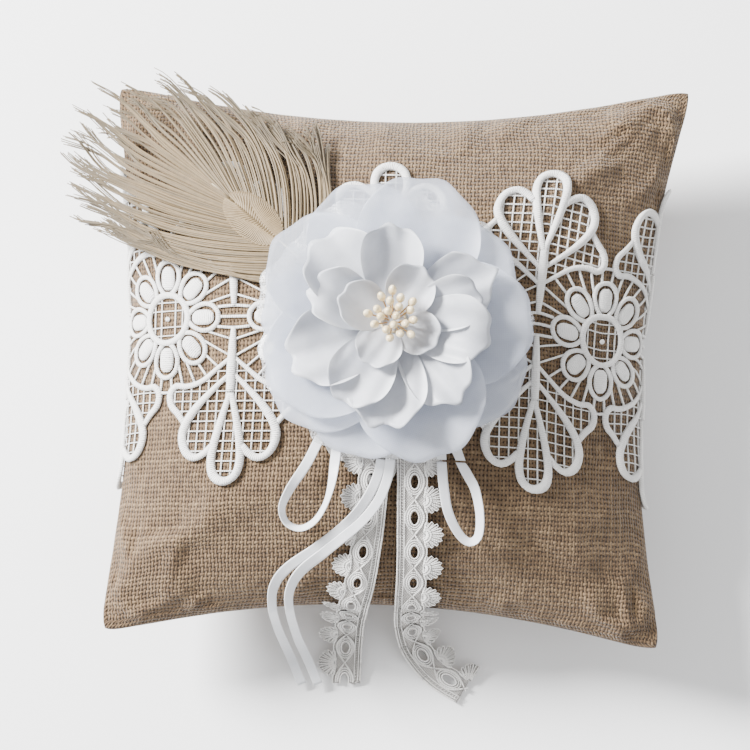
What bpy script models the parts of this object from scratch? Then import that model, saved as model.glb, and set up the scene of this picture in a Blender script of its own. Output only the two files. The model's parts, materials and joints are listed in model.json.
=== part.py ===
"""Ring bearer pillow: a burlap cushion with a lace band, flower, feather, ribbon bow and crochet tails.

Metres, +Z up. The pillow lies on its back, its front faces +Z, and the origin is the middle of
the flat patch that it rests on.
"""

import math

import bmesh
import bpy
from mathutils import Matrix, Vector

# Pillow outline, measured at the seam
HALF_WIDTH = 0.1020
HALF_HEIGHT = 0.1010
SAG_LEFT = 0.0100
SAG_RIGHT = 0.0150
SAG_TOP = 0.0150
SAG_BOTTOM = 0.0150
CORNER_ROUNDING = 0.0030
CORNER_STRETCH = {
    (-1, 1): (-0.0022, -0.0018),
    (1, 1): (0.0035, 0.0047),
    (-1, -1): (0.0020, 0.0014),
    (1, -1): (-0.0035, 0.0018),
}

# Pillow section
SEAM_HEIGHT = 0.0340
FRONT_CROWN = 0.0380
BACK_CROWN = 0.0440
CROWN_POWER = 0.60
GRID_CELLS = 12

# Cloth thicknesses and the clearance between pieces
CLEARANCE = 0.00035
BURLAP = 0.0009
LINER = 0.0004
LACE = 0.0016
FELT = 0.0015
TULLE = 0.0006
ORGANZA = 0.0005
SILK = 0.0005
CROCHET = 0.0012
SATIN = 0.0005
VANE = 0.0005

# Sewing
SEAM_ALLOWANCE = 0.0050
SEAM_THREAD_DIAMETER = 0.0008
FILLING_EDGE = 0.0001
THREAD_CORNER_CUT = 0.02

# Lace band, as shares of the pillow's half height
LACE_LOWER = -0.54
LACE_UPPER = 0.77

# Flower
FLOWER_CENTRE = (-0.0010, 0.0080)
FELT_RADIUS = 0.0180
TULLE_RADIUS = 0.0440
PETAL_LAYERS = (
    # name, radius, rise at the rim, lobes, depth of the notches
    ("organza_petals_lower", 0.0460, 0.0060, 6, 0.14),
    ("organza_petals_upper", 0.0420, 0.0080, 5, 0.16),
    ("silk_petals_outer", 0.0340, 0.0085, 5, 0.18),
    ("silk_petals_middle", 0.0270, 0.0085, 5, 0.20),
    ("silk_petals_inner", 0.0190, 0.0070, 4, 0.20),
)
PETAL_STEP = 0.0009
LAYER_TURN = 0.7
STAMEN_COUNT = 20
STAMEN_SPREAD = 0.0098
STAMEN_FOOT_SHARE = 0.28
STAMEN_LENGTH = 0.0115
STAMEN_THREAD_RADIUS = 0.00025
PEARL_RADIUS = 0.0014
PEARL_LENGTH = 0.0040
BINDING_RADIUS = 0.0004
BINDING_ROOM = 0.0008
GOLDEN_ANGLE = math.radians(137.508)

# Ribbon bow
RIBBON_WIDTH = 0.0033
KNOT_SIZE = (0.0080, 0.0060, 0.0016)
BOW_MIDDLE_WIDTH = 0.0040

# Crochet trim
TRIM_WIDTH = 0.0165
TRIM_FOLD_WIDTH = 0.0340
TRIM_FOLD_LENGTH = 0.0300

# Where the soft tails leave the flower's lower edge, and the running gap there
TAIL_HINGE_Y = -0.0370
HINGE_GAP = 0.0004

# How the tails fall from the pillow's edge to the table
FALL_LENGTH = 0.0060
FALL_START = 0.985
TABLE_CLEARANCE = 0.0005

# Feather
FEATHER_HINGE = (-0.0345, 0.0312)
FEATHER_DIRECTION = math.radians(139.5)
FEATHER_SLOPE = 0.25
FEATHER_CURL = 6.0
QUILL_RADIUS = 0.0006
QUILL_HIDDEN_LENGTH = 0.0300
SHAFT_LENGTH = 0.0600
SHAFT_TIP_RADIUS = 0.0003
# Half widths of the two sides of the vane at distances along the shaft
VANE_RIGHT = (
    (0.0, 0.016), (0.012, 0.034), (0.026, 0.041), (0.042, 0.035),
    (0.064, 0.024), (0.084, 0.016), (0.099, 0.006),
)
VANE_LEFT = (
    (0.0, 0.020), (0.020, 0.032), (0.044, 0.038), (0.060, 0.039),
    (0.076, 0.039), (0.090, 0.031), (0.099, 0.012),
)

# Heights of the pieces above the cover, from the bottom of the pile to the top
LACE_LIFT = CLEARANCE
TRIM_LIFT = LACE_LIFT + LACE + CLEARANCE
QUILL_LIFT = TRIM_LIFT + QUILL_RADIUS
RIBBON_LIFT = TRIM_LIFT + CROCHET + CLEARANCE
UPPER_RIBBON_LIFT = RIBBON_LIFT + SATIN + CLEARANCE
FELT_LIFT = RIBBON_LIFT
KNOT_LIFT = UPPER_RIBBON_LIFT
TULLE_LIFT = KNOT_LIFT + KNOT_SIZE[2] + CLEARANCE
PETAL_LIFT = TULLE_LIFT + TULLE + CLEARANCE

# Plan routes of the soft pieces that lie on the pillow, from the flower's lower edge outward.
# A ribbon's route is its middle line, and a crochet trim's is its straight inner edge.
LOOP_LEFT_ROUTE = (
    (-0.0268, -0.0374), (-0.0290, -0.0415), (-0.0335, -0.0488), (-0.0358, -0.0548), (-0.0340, -0.0594),
    (-0.0295, -0.0611), (-0.0249, -0.0588), (-0.0214, -0.0535), (-0.0194, -0.0466), (-0.0184, -0.0374),
)
LOOP_RIGHT_ROUTE = (
    (0.0172, -0.0374), (0.0182, -0.0452), (0.0200, -0.0535), (0.0236, -0.0602), (0.0275, -0.0634),
    (0.0306, -0.0615), (0.0309, -0.0548), (0.0290, -0.0465), (0.0262, -0.0415), (0.0236, -0.0374),
)
TAIL_LEFT_ROUTE = (
    (-0.0030, -0.0374), (-0.0040, -0.0430), (-0.0072, -0.0503), (-0.0132, -0.0583), (-0.0235, -0.0668),
    (-0.0330, -0.0735), (-0.0375, -0.0790), (-0.0386, -0.0850), (-0.0370, -0.0930), (-0.0325, -0.1025),
    (-0.0281, -0.1121),
)
TAIL_RIGHT_ROUTE = (
    (0.0001, -0.0374), (-0.0008, -0.0440), (-0.0037, -0.0515), (-0.0097, -0.0590), (-0.0200, -0.0676),
    (-0.0288, -0.0748), (-0.0324, -0.0810), (-0.0325, -0.0872), (-0.0303, -0.0954), (-0.0261, -0.1037),
    (-0.0223, -0.1119),
)
TRIM_LEFT_EDGE = (
    (0.0001, -0.0374), (-0.0003, -0.0479), (-0.0009, -0.0577), (-0.0019, -0.0674), (-0.0033, -0.0770),
    (-0.0051, -0.0842), (-0.0065, -0.0905), (-0.0070, -0.1005), (-0.0069, -0.1116),
)
TRIM_RIGHT_EDGE = (
    (0.0022, -0.0374), (0.0026, -0.0472), (0.0030, -0.0569), (0.0034, -0.0665), (0.0036, -0.0761),
    (0.0035, -0.0835), (0.0038, -0.0896), (0.0068, -0.0970), (0.0144, -0.1047), (0.0239, -0.1100),
)


# Finishes: colour and roughness
JUTE = ("#B9A178", 0.95)
MUSLIN = ("#EDE8DC", 0.90)
FIBRE = ("#EFEDE6", 0.95)
JUTE_THREAD = ("#C9B48C", 0.70)
WHITE_LACE = ("#F1F0EE", 0.80)
WHITE_FELT = ("#E9E6DF", 0.90)
GLITTER_TULLE = ("#E4E2DE", 0.60)
SHEER = ("#DDDCD9", 0.40)
SILK_CLOTH = ("#F4F2EE", 0.50)
PEARL = ("#F3EBDD", 0.30)
COTTON_THREAD = ("#D8CDB8", 0.70)
SATIN_RIBBON = ("#F2F2F2", 0.25)
CROCHET_COTTON = ("#DAD7D0", 0.85)
QUILL = ("#E6DEC9", 0.45)
BARBS = ("#DDD3BF", 0.70)


def remove_everything():
    for old in list(bpy.data.objects):
        bpy.data.objects.remove(old, do_unlink=True)


def linear(channel):
    return channel / 12.92 if channel <= 0.04045 else ((channel + 0.055) / 1.055) ** 2.4


def material(name, hex_colour, roughness):
    made = bpy.data.materials.new(name)
    made.use_nodes = True
    shader = made.node_tree.nodes["Principled BSDF"]
    channels = [int(hex_colour[i:i + 2], 16) / 255 for i in (1, 3, 5)]
    shader.inputs["Base Color"].default_value = (*[linear(c) for c in channels], 1.0)
    shader.inputs["Roughness"].default_value = roughness
    shader.inputs["Metallic"].default_value = 0.0
    return made


def add_object(name, vertices, faces, colour, roughness):
    """One object from a vertex list, with its triangles turned to face out."""
    mesh = bpy.data.meshes.new(name)
    shape = bmesh.new()
    corners = [shape.verts.new(v) for v in vertices]
    for face in faces:
        shape.faces.new([corners[i] for i in face])
    bmesh.ops.recalc_face_normals(shape, faces=shape.faces)
    shape.to_mesh(mesh)
    shape.free()
    made = bpy.data.objects.new(name, mesh)
    mesh.materials.append(material(name, colour, roughness))
    bpy.context.collection.objects.link(made)
    return made


def thicken(piece, thickness):
    """Give a sheet its thickness, upward from the modelled surface."""
    if sum(face.normal.z * face.area for face in piece.data.polygons) < 0:
        piece.data.flip_normals()
    wall = piece.modifiers.new("wall", "SOLIDIFY")
    wall.thickness = thickness
    wall.offset = 1.0
    wall.use_even_offset = False
    return piece


def turn_about(piece, point):
    """Put the piece's origin on its joint's axis, without moving the piece."""
    piece.data.transform(Matrix.Translation(-Vector(point)))
    piece.location = point


def smooth_route(points, steps):
    """A Catmull-Rom curve through the points, with even parameter steps."""
    inner = [Vector(point) for point in points]
    ends = [2 * inner[0] - inner[1], *inner, 2 * inner[-1] - inner[-2]]
    route = []
    spans = len(inner) - 1
    for i in range(steps + 1):
        place = min(i * spans / steps, spans - 1e-9)
        k = int(place)
        t = place - k
        a, b, c, d = ends[k:k + 4]
        bend = (2 * a - 5 * b + 4 * c - d) * t**2 + (3 * b - a - 3 * c + d) * t**3
        route.append(0.5 * (2 * b + (c - a) * t + bend))
    return route


def blend(low, high, place):
    """The value between low (at -1) and high (at +1)."""
    return low + (high - low) * (place + 1) / 2


def half_sizes(u, v, inset):
    """Half width and half height at a grid place: the sides pull in between the corners."""
    half_x = HALF_WIDTH - inset - blend(SAG_LEFT, SAG_RIGHT, u) * (1 - v * v)
    half_y = HALF_HEIGHT - inset - blend(SAG_BOTTOM, SAG_TOP, v) * (1 - u * u)
    return half_x, half_y


def corner_offset(u, v):
    """Hand-sewn stretch of each corner, and the rounding of its tip."""
    x = sum((1 + sx * u) * (1 + sy * v) / 4 * shift[0] for (sx, sy), shift in CORNER_STRETCH.items())
    y = sum((1 + sx * u) * (1 + sy * v) / 4 * shift[1] for (sx, sy), shift in CORNER_STRETCH.items())
    pull = CORNER_ROUNDING * (u * v) ** 16
    return x - math.copysign(pull, u), y - math.copysign(pull, v)


def plan_point(u, v, inset):
    half_x, half_y = half_sizes(u, v, inset)
    dx, dy = corner_offset(u, v)
    return u * half_x + dx, v * half_y + dy


def grid_place(x, y, inset):
    """The grid place (u, v) of a plan point, found by fixed-point steps."""
    u = x / HALF_WIDTH
    v = y / HALF_HEIGHT
    for _ in range(12):
        half_x, half_y = half_sizes(max(-1, min(1, u)), max(-1, min(1, v)), inset)
        dx, dy = corner_offset(max(-1, min(1, u)), max(-1, min(1, v)))
        u = (x - dx) / half_x
        v = (y - dy) / half_y
    return u, v


def fullness(u, v):
    return (max(0.0, 1 - u * u) * max(0.0, 1 - v * v)) ** CROWN_POWER


def front_height(u, v, inset):
    return SEAM_HEIGHT + (FRONT_CROWN - inset) * fullness(u, v)


def back_height(u, v, inset):
    """The back is round, and flat where it rests."""
    rest = LACE + LACE_LIFT + inset
    return max(SEAM_HEIGHT - (BACK_CROWN - inset) * fullness(u, v), rest)


def lying_height(x, y, lift):
    """Height of a soft piece that lies this far above the cover, or falls to the table past its edge."""
    u, v = grid_place(x, y, -lift)
    edge = max(abs(u), abs(v))
    if edge <= FALL_START:
        return front_height(u, v, -lift)
    brim = front_height(FALL_START, 0.0, -lift)
    beyond = (edge - FALL_START) * (HALF_HEIGHT - SAG_BOTTOM)
    table = TABLE_CLEARANCE + lift - TRIM_LIFT
    return table + (brim - table) * math.exp(-beyond / FALL_LENGTH)


def grid_values(cells):
    """Grid lines from -1 to 1 that crowd towards the seam."""
    return [math.sin(math.pi / 2 * (2 * i / cells - 1)) for i in range(cells + 1)]


def grid_rows(cells):
    """The same lines across the pillow, with the nearest ones moved onto the lace band's two edges."""
    rows = grid_values(cells)
    for edge in (LACE_LOWER, LACE_UPPER):
        nearest = min(range(len(rows)), key=lambda i: abs(rows[i] - edge))
        rows[nearest] = edge
    return rows


def sheet_faces(columns, rows, start=0):
    """Triangles of a grid of columns x rows vertices, all split along the same diagonal."""
    faces = []
    for j in range(rows - 1):
        for i in range(columns - 1):
            a = start + j * columns + i
            b, c, d = a + 1, a + columns + 1, a + columns
            faces += [(a, b, c), (a, c, d)]
    return faces


def rim_indices(columns, rows):
    """The grid's border, once round."""
    bottom = [i for i in range(columns)]
    right = [j * columns + columns - 1 for j in range(1, rows)]
    top = [(rows - 1) * columns + i for i in range(columns - 2, -1, -1)]
    left = [j * columns for j in range(rows - 2, 0, -1)]
    return bottom + right + top + left


def band_faces(ring_a, ring_b):
    """Triangles between two closed rings of vertex numbers."""
    count = len(ring_a)
    faces = []
    for k in range(count):
        n = (k + 1) % count
        faces += [(ring_a[k], ring_a[n], ring_b[n]), (ring_a[k], ring_b[n], ring_b[k])]
    return faces


def cushion_panel(name, height, seam_shift, inset, thickness, colour, roughness, edge_inset=0.0):
    """A dished cloth panel of the front or the back, with a wall of the given thickness."""
    lines = grid_values(GRID_CELLS)
    count = len(lines)
    vertices = []
    for depth in (inset, inset + thickness):
        for v in grid_rows(GRID_CELLS):
            for u in lines:
                x, y = plan_point(u, v, depth + edge_inset)
                vertices.append((x, y, height(u, v, depth) + seam_shift))
    outer = sheet_faces(count, count)
    inner = sheet_faces(count, count, count * count)
    rim = rim_indices(count, count)
    wall = band_faces(rim, [i + count * count for i in rim])
    return add_object(name, vertices, outer + inner + wall, colour, roughness)


def fibre_filling(inset):
    """The stuffing fills the liner, with a narrow blunt edge along the seam."""
    lines = grid_values(GRID_CELLS)
    count = len(lines)
    vertices = []
    for height, blunt in ((front_height, FILLING_EDGE), (back_height, -FILLING_EDGE)):
        for v in grid_rows(GRID_CELLS):
            for u in lines:
                x, y = plan_point(u, v, inset + SEAM_ALLOWANCE)
                vertices.append((x, y, height(u, v, inset) + blunt * (1 - fullness(u, v))))
    rim = rim_indices(count, count)
    faces = sheet_faces(count, count) + sheet_faces(count, count, count * count)
    faces += band_faces(rim, [i + count * count for i in rim])
    return add_object("fibre_filling", vertices, faces, *FIBRE)


def seam_thread():
    """A ring of thread through the seam allowances, just inside the seam."""
    lines = grid_values(2 * GRID_CELLS)
    around = [(u, -1.0) for u in lines[:-1]] + [(1.0, v) for v in lines[:-1]]
    around += [(-u, 1.0) for u in lines[:-1]] + [(-1.0, -v) for v in lines[:-1]]
    curve = bpy.data.curves.new("perimeter_seam_thread", "CURVE")
    curve.dimensions = "3D"
    curve.bevel_depth = SEAM_THREAD_DIAMETER / 2
    curve.bevel_resolution = 1
    line = curve.splines.new("POLY")
    line.points.add(len(around) - 1)
    for point, (u, v) in zip(line.points, around):
        turn_in = 1 - THREAD_CORNER_CUT * (u * v) ** 8
        place = plan_point(u * turn_in, v * turn_in, BURLAP + 1.5 * SEAM_THREAD_DIAMETER)
        point.co = (*place, SEAM_HEIGHT, 1)
    line.use_cyclic_u = True
    curve.materials.append(material("perimeter_seam_thread", *JUTE_THREAD))
    made = bpy.data.objects.new("perimeter_seam_thread", curve)
    bpy.context.collection.objects.link(made)
    return made


def lace_band():
    """A ring of lace round the pillow, over the front, both sides and the back.

    It uses the cushion's own grid lines and diagonals, so that its facets stay clear of the cover's.
    """
    lines = grid_values(GRID_CELLS)
    heights = [v for v in grid_rows(GRID_CELLS) if LACE_LOWER <= v <= LACE_UPPER]
    rows = len(heights)
    loop = [(u, front_height) for u in lines] + [(u, back_height) for u in lines[-2:0:-1]]
    vertices = []
    for inset in (-LACE_LIFT, -LACE_LIFT - LACE):
        for v in heights:
            for u, height in loop:
                vertices.append((*plan_point(u, v, inset), height(u, v, inset)))
    count = len(loop)

    def ring(layer, j):
        return [(layer * rows + j) * count + k for k in range(count)]

    faces = []
    for layer in (0, 1):
        for j in range(rows - 1):
            low, high = ring(layer, j), ring(layer, j + 1)
            for k in range(count):
                n = (k + 1) % count
                if k < GRID_CELLS:
                    faces += [(low[k], low[n], high[n]), (low[k], high[n], high[k])]
                else:
                    faces += [(low[k], low[n], high[k]), (low[n], high[n], high[k])]
    faces += band_faces(ring(0, 0), ring(1, 0))
    faces += band_faces(ring(0, rows - 1), ring(1, rows - 1))
    return add_object("lace_band", vertices, faces, *WHITE_LACE)


def disc(name, radius, height, colour, roughness, lobes=1, notch=0.0, turn=0.0, rings=4, segments=24):
    """A round or lobed sheet about the flower's centre; height(x, y, r) gives its underside."""
    cx, cy = FLOWER_CENTRE
    vertices = [(cx, cy, height(cx, cy, 0.0))]
    for ring in range(1, rings + 1):
        for k in range(segments):
            angle = 2 * math.pi * k / segments
            reach = radius * ring / rings
            reach *= 1 - notch * (1 - abs(math.cos(lobes * (angle - turn) / 2))) * (ring / rings) ** 2
            x = cx + reach * math.cos(angle)
            y = cy + reach * math.sin(angle)
            vertices.append((x, y, height(x, y, reach)))
    faces = [(0, 1 + k, 1 + (k + 1) % segments) for k in range(segments)]
    for ring in range(rings - 1):
        inner = [1 + ring * segments + k for k in range(segments)]
        outer = [1 + (ring + 1) * segments + k for k in range(segments)]
        faces += band_faces(inner, outer)
    return add_object(name, vertices, faces, colour, roughness)


def lying_disc(name, radius, lift, thickness, finish):
    thicken(disc(name, radius, lambda x, y, r: lying_height(x, y, lift), *finish), thickness)


def flower():
    lying_disc("flower_felt_disc", FELT_RADIUS, FELT_LIFT, FELT, WHITE_FELT)
    lying_disc("tulle_ruffle", TULLE_RADIUS, TULLE_LIFT, TULLE, GLITTER_TULLE)
    base = lying_height(*FLOWER_CENTRE, PETAL_LIFT)
    for level, (name, radius, rise, lobes, notch) in enumerate(PETAL_LAYERS):
        foot = base + level * PETAL_STEP
        sheer = name.startswith("organza")
        finish = SHEER if sheer else SILK_CLOTH
        petals = disc(
            name, radius, lambda x, y, r: foot + rise * (r / radius) ** 2, *finish,
            lobes, notch, turn=level * LAYER_TURN,
        )
        thicken(petals, ORGANZA if sheer else SILK)
    stamens(base + len(PETAL_LAYERS) * PETAL_STEP + CLEARANCE)


def stamens(foot):
    """Pearl-headed threads that fan out of one bunch, and the thread that binds them."""
    cx, cy = FLOWER_CENTRE
    head = PEARL_LENGTH / STAMEN_LENGTH
    outline = (
        # share of the length, radius
        (0.0, STAMEN_THREAD_RADIUS),
        (0.45, STAMEN_THREAD_RADIUS),
        (1 - head, STAMEN_THREAD_RADIUS),
        (1 - 0.85 * head, 0.75 * PEARL_RADIUS),
        (1 - 0.50 * head, PEARL_RADIUS),
        (1 - 0.15 * head, 0.75 * PEARL_RADIUS),
        (1.0, 0.20 * PEARL_RADIUS),
    )
    for n in range(STAMEN_COUNT):
        spread = STAMEN_SPREAD * math.sqrt((n + 0.5) / STAMEN_COUNT)
        angle = n * GOLDEN_ANGLE
        out = Vector((math.cos(angle), math.sin(angle), 0))
        tip_height = math.sqrt(STAMEN_LENGTH**2 - (spread * (1 - STAMEN_FOOT_SHARE)) ** 2)
        start = Vector((cx, cy, foot)) + out * spread * STAMEN_FOOT_SHARE
        end = Vector((cx, cy, foot + tip_height)) + out * spread
        stations = [(start.lerp(end, share), radius) for share, radius in outline]
        tapered_rod(f"stamen_{n + 1:02d}", stations, *PEARL)
    bunch_radius = STAMEN_SPREAD * STAMEN_FOOT_SHARE + STAMEN_THREAD_RADIUS
    bpy.ops.mesh.primitive_torus_add(
        location=(cx, cy, foot + BINDING_RADIUS), major_segments=20, minor_segments=6,
        major_radius=bunch_radius + BINDING_ROOM + BINDING_RADIUS, minor_radius=BINDING_RADIUS,
    )
    binding = bpy.context.object
    binding.name = "stamen_binding_thread"
    binding.data.materials.append(material("stamen_binding_thread", *COTTON_THREAD))


def tapered_rod(name, stations, colour, roughness, resolution=1):
    """A round rod through stations of (place, radius)."""
    curve = bpy.data.curves.new(name, "CURVE")
    curve.dimensions = "3D"
    curve.bevel_depth = 1.0
    curve.bevel_resolution = resolution
    curve.use_fill_caps = True
    line = curve.splines.new("POLY")
    line.points.add(len(stations) - 1)
    for point, (place, radius) in zip(line.points, stations):
        point.co = (*place, 1)
        point.radius = radius
    curve.materials.append(material(name, colour, roughness))
    made = bpy.data.objects.new(name, curve)
    bpy.context.collection.objects.link(made)
    return made


def strip(name, route, width, lift, thickness, finish, steps=36, across=1, square_end=False):
    """A flat strip that lies on the cover along a plan route."""
    line = smooth_route([(*point, 0.0) for point in route], steps)
    vertices = []
    for i, point in enumerate(line):
        along = line[min(i + 1, steps)] - line[max(i - 1, 0)]
        side = Vector((along.y, -along.x, 0)).normalized()
        if along.x and (i == 0 or (i == steps and square_end)) and abs(along.y) > abs(along.x):
            side = Vector((math.copysign(1, side.x), 0, 0))
        for j in range(across + 1):
            place = point + side * width * (j / across - 0.5)
            vertices.append((place.x, place.y, lying_height(place.x, place.y, lift)))
    made = add_object(name, vertices, sheet_faces(across + 1, steps + 1), *finish)
    return thicken(made, thickness)


def hinged_strip(name, route, width, lift, thickness, finish, steps=36, across=1, square_end=False):
    """A strip whose origin is on its hinge, at the top of the pile of strips by the flower's lower edge."""
    made = strip(name, route, width, lift, thickness, finish, steps, across, square_end)
    x = (route[0][0] + route[-1][0]) / 2 if square_end else route[0][0]
    turn_about(made, (x, TAIL_HINGE_Y, lying_height(x, TAIL_HINGE_Y, UPPER_RIBBON_LIFT) + SATIN))


def ribbon_bow():
    for name, route in (("ribbon_loop_left", LOOP_LEFT_ROUTE), ("ribbon_loop_right", LOOP_RIGHT_ROUTE)):
        hinged_strip(name, route, RIBBON_WIDTH, RIBBON_LIFT, SATIN, SATIN_RIBBON, square_end=True)
    hinged_strip("ribbon_tail_left", TAIL_LEFT_ROUTE, RIBBON_WIDTH, RIBBON_LIFT, SATIN, SATIN_RIBBON)
    hinged_strip("ribbon_tail_right", TAIL_RIGHT_ROUTE, RIBBON_WIDTH, UPPER_RIBBON_LIFT, SATIN, SATIN_RIBBON)
    edge = TAIL_HINGE_Y + HINGE_GAP + BOW_MIDDLE_WIDTH / 2
    left = LOOP_LEFT_ROUTE[0][0] - RIBBON_WIDTH / 2
    right = LOOP_RIGHT_ROUTE[-1][0] + RIBBON_WIDTH / 2
    middle = ((left, edge), (left / 2, edge), (right / 2, edge), (right, edge))
    strip("ribbon_bow_middle", middle, BOW_MIDDLE_WIDTH, RIBBON_LIFT, SATIN, SATIN_RIBBON, steps=16)
    knot_x = (TAIL_LEFT_ROUTE[0][0] + TAIL_RIGHT_ROUTE[0][0]) / 2
    knot_y = edge + BOW_MIDDLE_WIDTH / 2
    knot = ((knot_x, knot_y + KNOT_SIZE[1] / 2), (knot_x, knot_y - KNOT_SIZE[1] / 2))
    strip("ribbon_knot", knot, KNOT_SIZE[0], KNOT_LIFT, KNOT_SIZE[2], SATIN_RIBBON, steps=3, across=4)


def crochet_trim():
    top = TAIL_HINGE_Y + HINGE_GAP
    fold = ((0.0, top + TRIM_FOLD_LENGTH), (0.0, top + TRIM_FOLD_LENGTH / 2), (0.0, top))
    strip("crochet_trim_fold", fold, TRIM_FOLD_WIDTH, TRIM_LIFT, CROCHET, CROCHET_COTTON, steps=6, across=4)
    tails = (("crochet_tail_left", TRIM_LEFT_EDGE, -1), ("crochet_tail_right", TRIM_RIGHT_EDGE, 1))
    for name, edge, side in tails:
        route = [(x + side * TRIM_WIDTH / 2, y) for x, y in edge]
        hinged_strip(name, route, TRIM_WIDTH, TRIM_LIFT, CROCHET, CROCHET_COTTON, steps=30, across=2)


def feather_point(along, across):
    """Place on the feather: distance along the shaft from its hinge, and to its right side."""
    x = FEATHER_HINGE[0] + along * math.cos(FEATHER_DIRECTION) + across * math.sin(FEATHER_DIRECTION)
    y = FEATHER_HINGE[1] + along * math.sin(FEATHER_DIRECTION) - across * math.cos(FEATHER_DIRECTION)
    straight = lying_height(*FEATHER_HINGE, QUILL_LIFT) - FEATHER_SLOPE * along - FEATHER_CURL * across**2
    if along <= 0:
        return Vector((x, y, lying_height(x, y, QUILL_LIFT)))
    return Vector((x, y, max(straight, lying_height(x, y, QUILL_LIFT))))


def half_width_at(outline, along):
    for (s0, w0), (s1, w1) in zip(outline, outline[1:]):
        if along <= s1:
            return w0 + (w1 - w0) * (along - s0) / (s1 - s0)
    return outline[-1][1]


def feather():
    hinge = feather_point(0.0, 0.0)
    quill = [(feather_point(-QUILL_HIDDEN_LENGTH * (1 - i / 5), 0), QUILL_RADIUS) for i in range(5)]
    quill.append((feather_point(-HINGE_GAP, 0), QUILL_RADIUS))
    tapered_rod("feather_quill", quill, *QUILL, 2)
    stations = []
    for i in range(13):
        along = SHAFT_LENGTH * i / 12
        stations.append((feather_point(along, 0), QUILL_RADIUS + (SHAFT_TIP_RADIUS - QUILL_RADIUS) * i / 12))
    shaft = tapered_rod("feather_shaft", stations, *QUILL, 2)
    shaft.data.transform(Matrix.Translation(-hinge))
    shaft.location = hinge
    inner = QUILL_RADIUS + CLEARANCE
    columns, rows = 6, 13
    for name, outline, sign in (("feather_vane_right", VANE_RIGHT, 1), ("feather_vane_left", VANE_LEFT, -1)):
        vertices = []
        for j in range(rows):
            along = outline[-1][0] * j / (rows - 1)
            outer = half_width_at(outline, along)
            for i in range(columns):
                across = inner + (outer - inner) * i / (columns - 1)
                vertices.append(feather_point(along, sign * across))
        vane = add_object(name, vertices, sheet_faces(columns, rows), *BARBS)
        thicken(vane, VANE)
        turn_about(vane, hinge)


def pillow():
    half_gap = CLEARANCE / 2
    inside = BURLAP + CLEARANCE + half_gap
    for side, height, shift in (("front", front_height, half_gap), ("back", back_height, -half_gap)):
        cushion_panel(f"burlap_{side}_panel", height, shift, 0.0, BURLAP, *JUTE)
        cushion_panel(f"liner_{side}", height, shift, inside, LINER, *MUSLIN, edge_inset=SEAM_ALLOWANCE)
    fibre_filling(inside + LINER + CLEARANCE + half_gap)
    seam_thread()
    lace_band()


def build():
    remove_everything()
    pillow()
    crochet_trim()
    ribbon_bow()
    feather()
    flower()


build()
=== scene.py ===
"""Looks of the ring bearer pillow: burlap cover, guipure lace, fabric flower, peacock feather,
satin ribbon and crochet trims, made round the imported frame. Metres, +Z up.
"""

import json
import math

import bpy
import numpy as np
from mathutils import Matrix, Vector

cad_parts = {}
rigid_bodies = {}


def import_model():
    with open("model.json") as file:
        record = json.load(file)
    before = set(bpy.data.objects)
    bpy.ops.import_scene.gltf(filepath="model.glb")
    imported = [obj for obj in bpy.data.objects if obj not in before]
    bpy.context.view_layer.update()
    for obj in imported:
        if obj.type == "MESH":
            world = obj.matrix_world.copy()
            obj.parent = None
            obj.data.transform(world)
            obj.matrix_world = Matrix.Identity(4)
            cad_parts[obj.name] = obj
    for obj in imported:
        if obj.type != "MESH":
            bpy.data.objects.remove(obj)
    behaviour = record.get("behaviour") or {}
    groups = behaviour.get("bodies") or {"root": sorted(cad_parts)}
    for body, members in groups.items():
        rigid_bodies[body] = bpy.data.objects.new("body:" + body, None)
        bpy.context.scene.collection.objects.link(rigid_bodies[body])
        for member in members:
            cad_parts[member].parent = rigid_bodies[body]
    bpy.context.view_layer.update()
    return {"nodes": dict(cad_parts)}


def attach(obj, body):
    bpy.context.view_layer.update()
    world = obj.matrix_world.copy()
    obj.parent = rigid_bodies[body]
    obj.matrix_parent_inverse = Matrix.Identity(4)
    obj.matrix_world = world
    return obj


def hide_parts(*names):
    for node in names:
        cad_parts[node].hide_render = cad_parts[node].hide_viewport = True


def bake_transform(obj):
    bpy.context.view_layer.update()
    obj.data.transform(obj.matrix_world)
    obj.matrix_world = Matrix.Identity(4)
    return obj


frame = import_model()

MM = 0.001

# Cushion, as the frame has it
HALF_WIDTH = 0.1020
HALF_HEIGHT = 0.1010
SAG_LEFT = 0.0100
SAG_RIGHT = 0.0150
SAG_TOP = 0.0150
SAG_BOTTOM = 0.0150
CORNER_ROUNDING = 0.0030
CORNER_STRETCH = {
    (-1, 1): (-0.0022, -0.0018),
    (1, 1): (0.0035, 0.0047),
    (-1, -1): (0.0020, 0.0014),
    (1, -1): (-0.0035, 0.0018),
}
SEAM_HEIGHT = 0.0340
FRONT_CROWN = 0.0380
BACK_CROWN = 0.0440
CROWN_POWER = 0.60
REST_HEIGHT = 0.00195

# Heights of the pieces above the cover
LACE_LIFT = 0.00035
TRIM_LIFT = 0.0023
QUILL_LIFT = 0.0029
RIBBON_LIFT = 0.00385
UPPER_RIBBON_LIFT = 0.0047
TULLE_LIFT = 0.00665
PETAL_PLANE = 0.0795
FALL_LENGTH = 0.0060
FALL_START = 0.985
TABLE_CLEARANCE = 0.0005

# Camera
LOOKING_DOWN = math.radians(82.0)
ROLL = math.radians(2.2)
DISTANCE = 0.88
LENS = 120.0
AIM = (-0.0062, -0.0037, 0.0335)
LIGHT_TARGET = (0, 0, 0.03)
FLOOR_SIZE = 6.0
FLOOR_GAP = 0.0002

# Cover
COVER_CELLS = 176
SIM_CELLS = 44
SIM_FRAMES = 20
HIGHEST_WRINKLE = 0.0022
DEEPEST_WRINKLE = 0.0008
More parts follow.
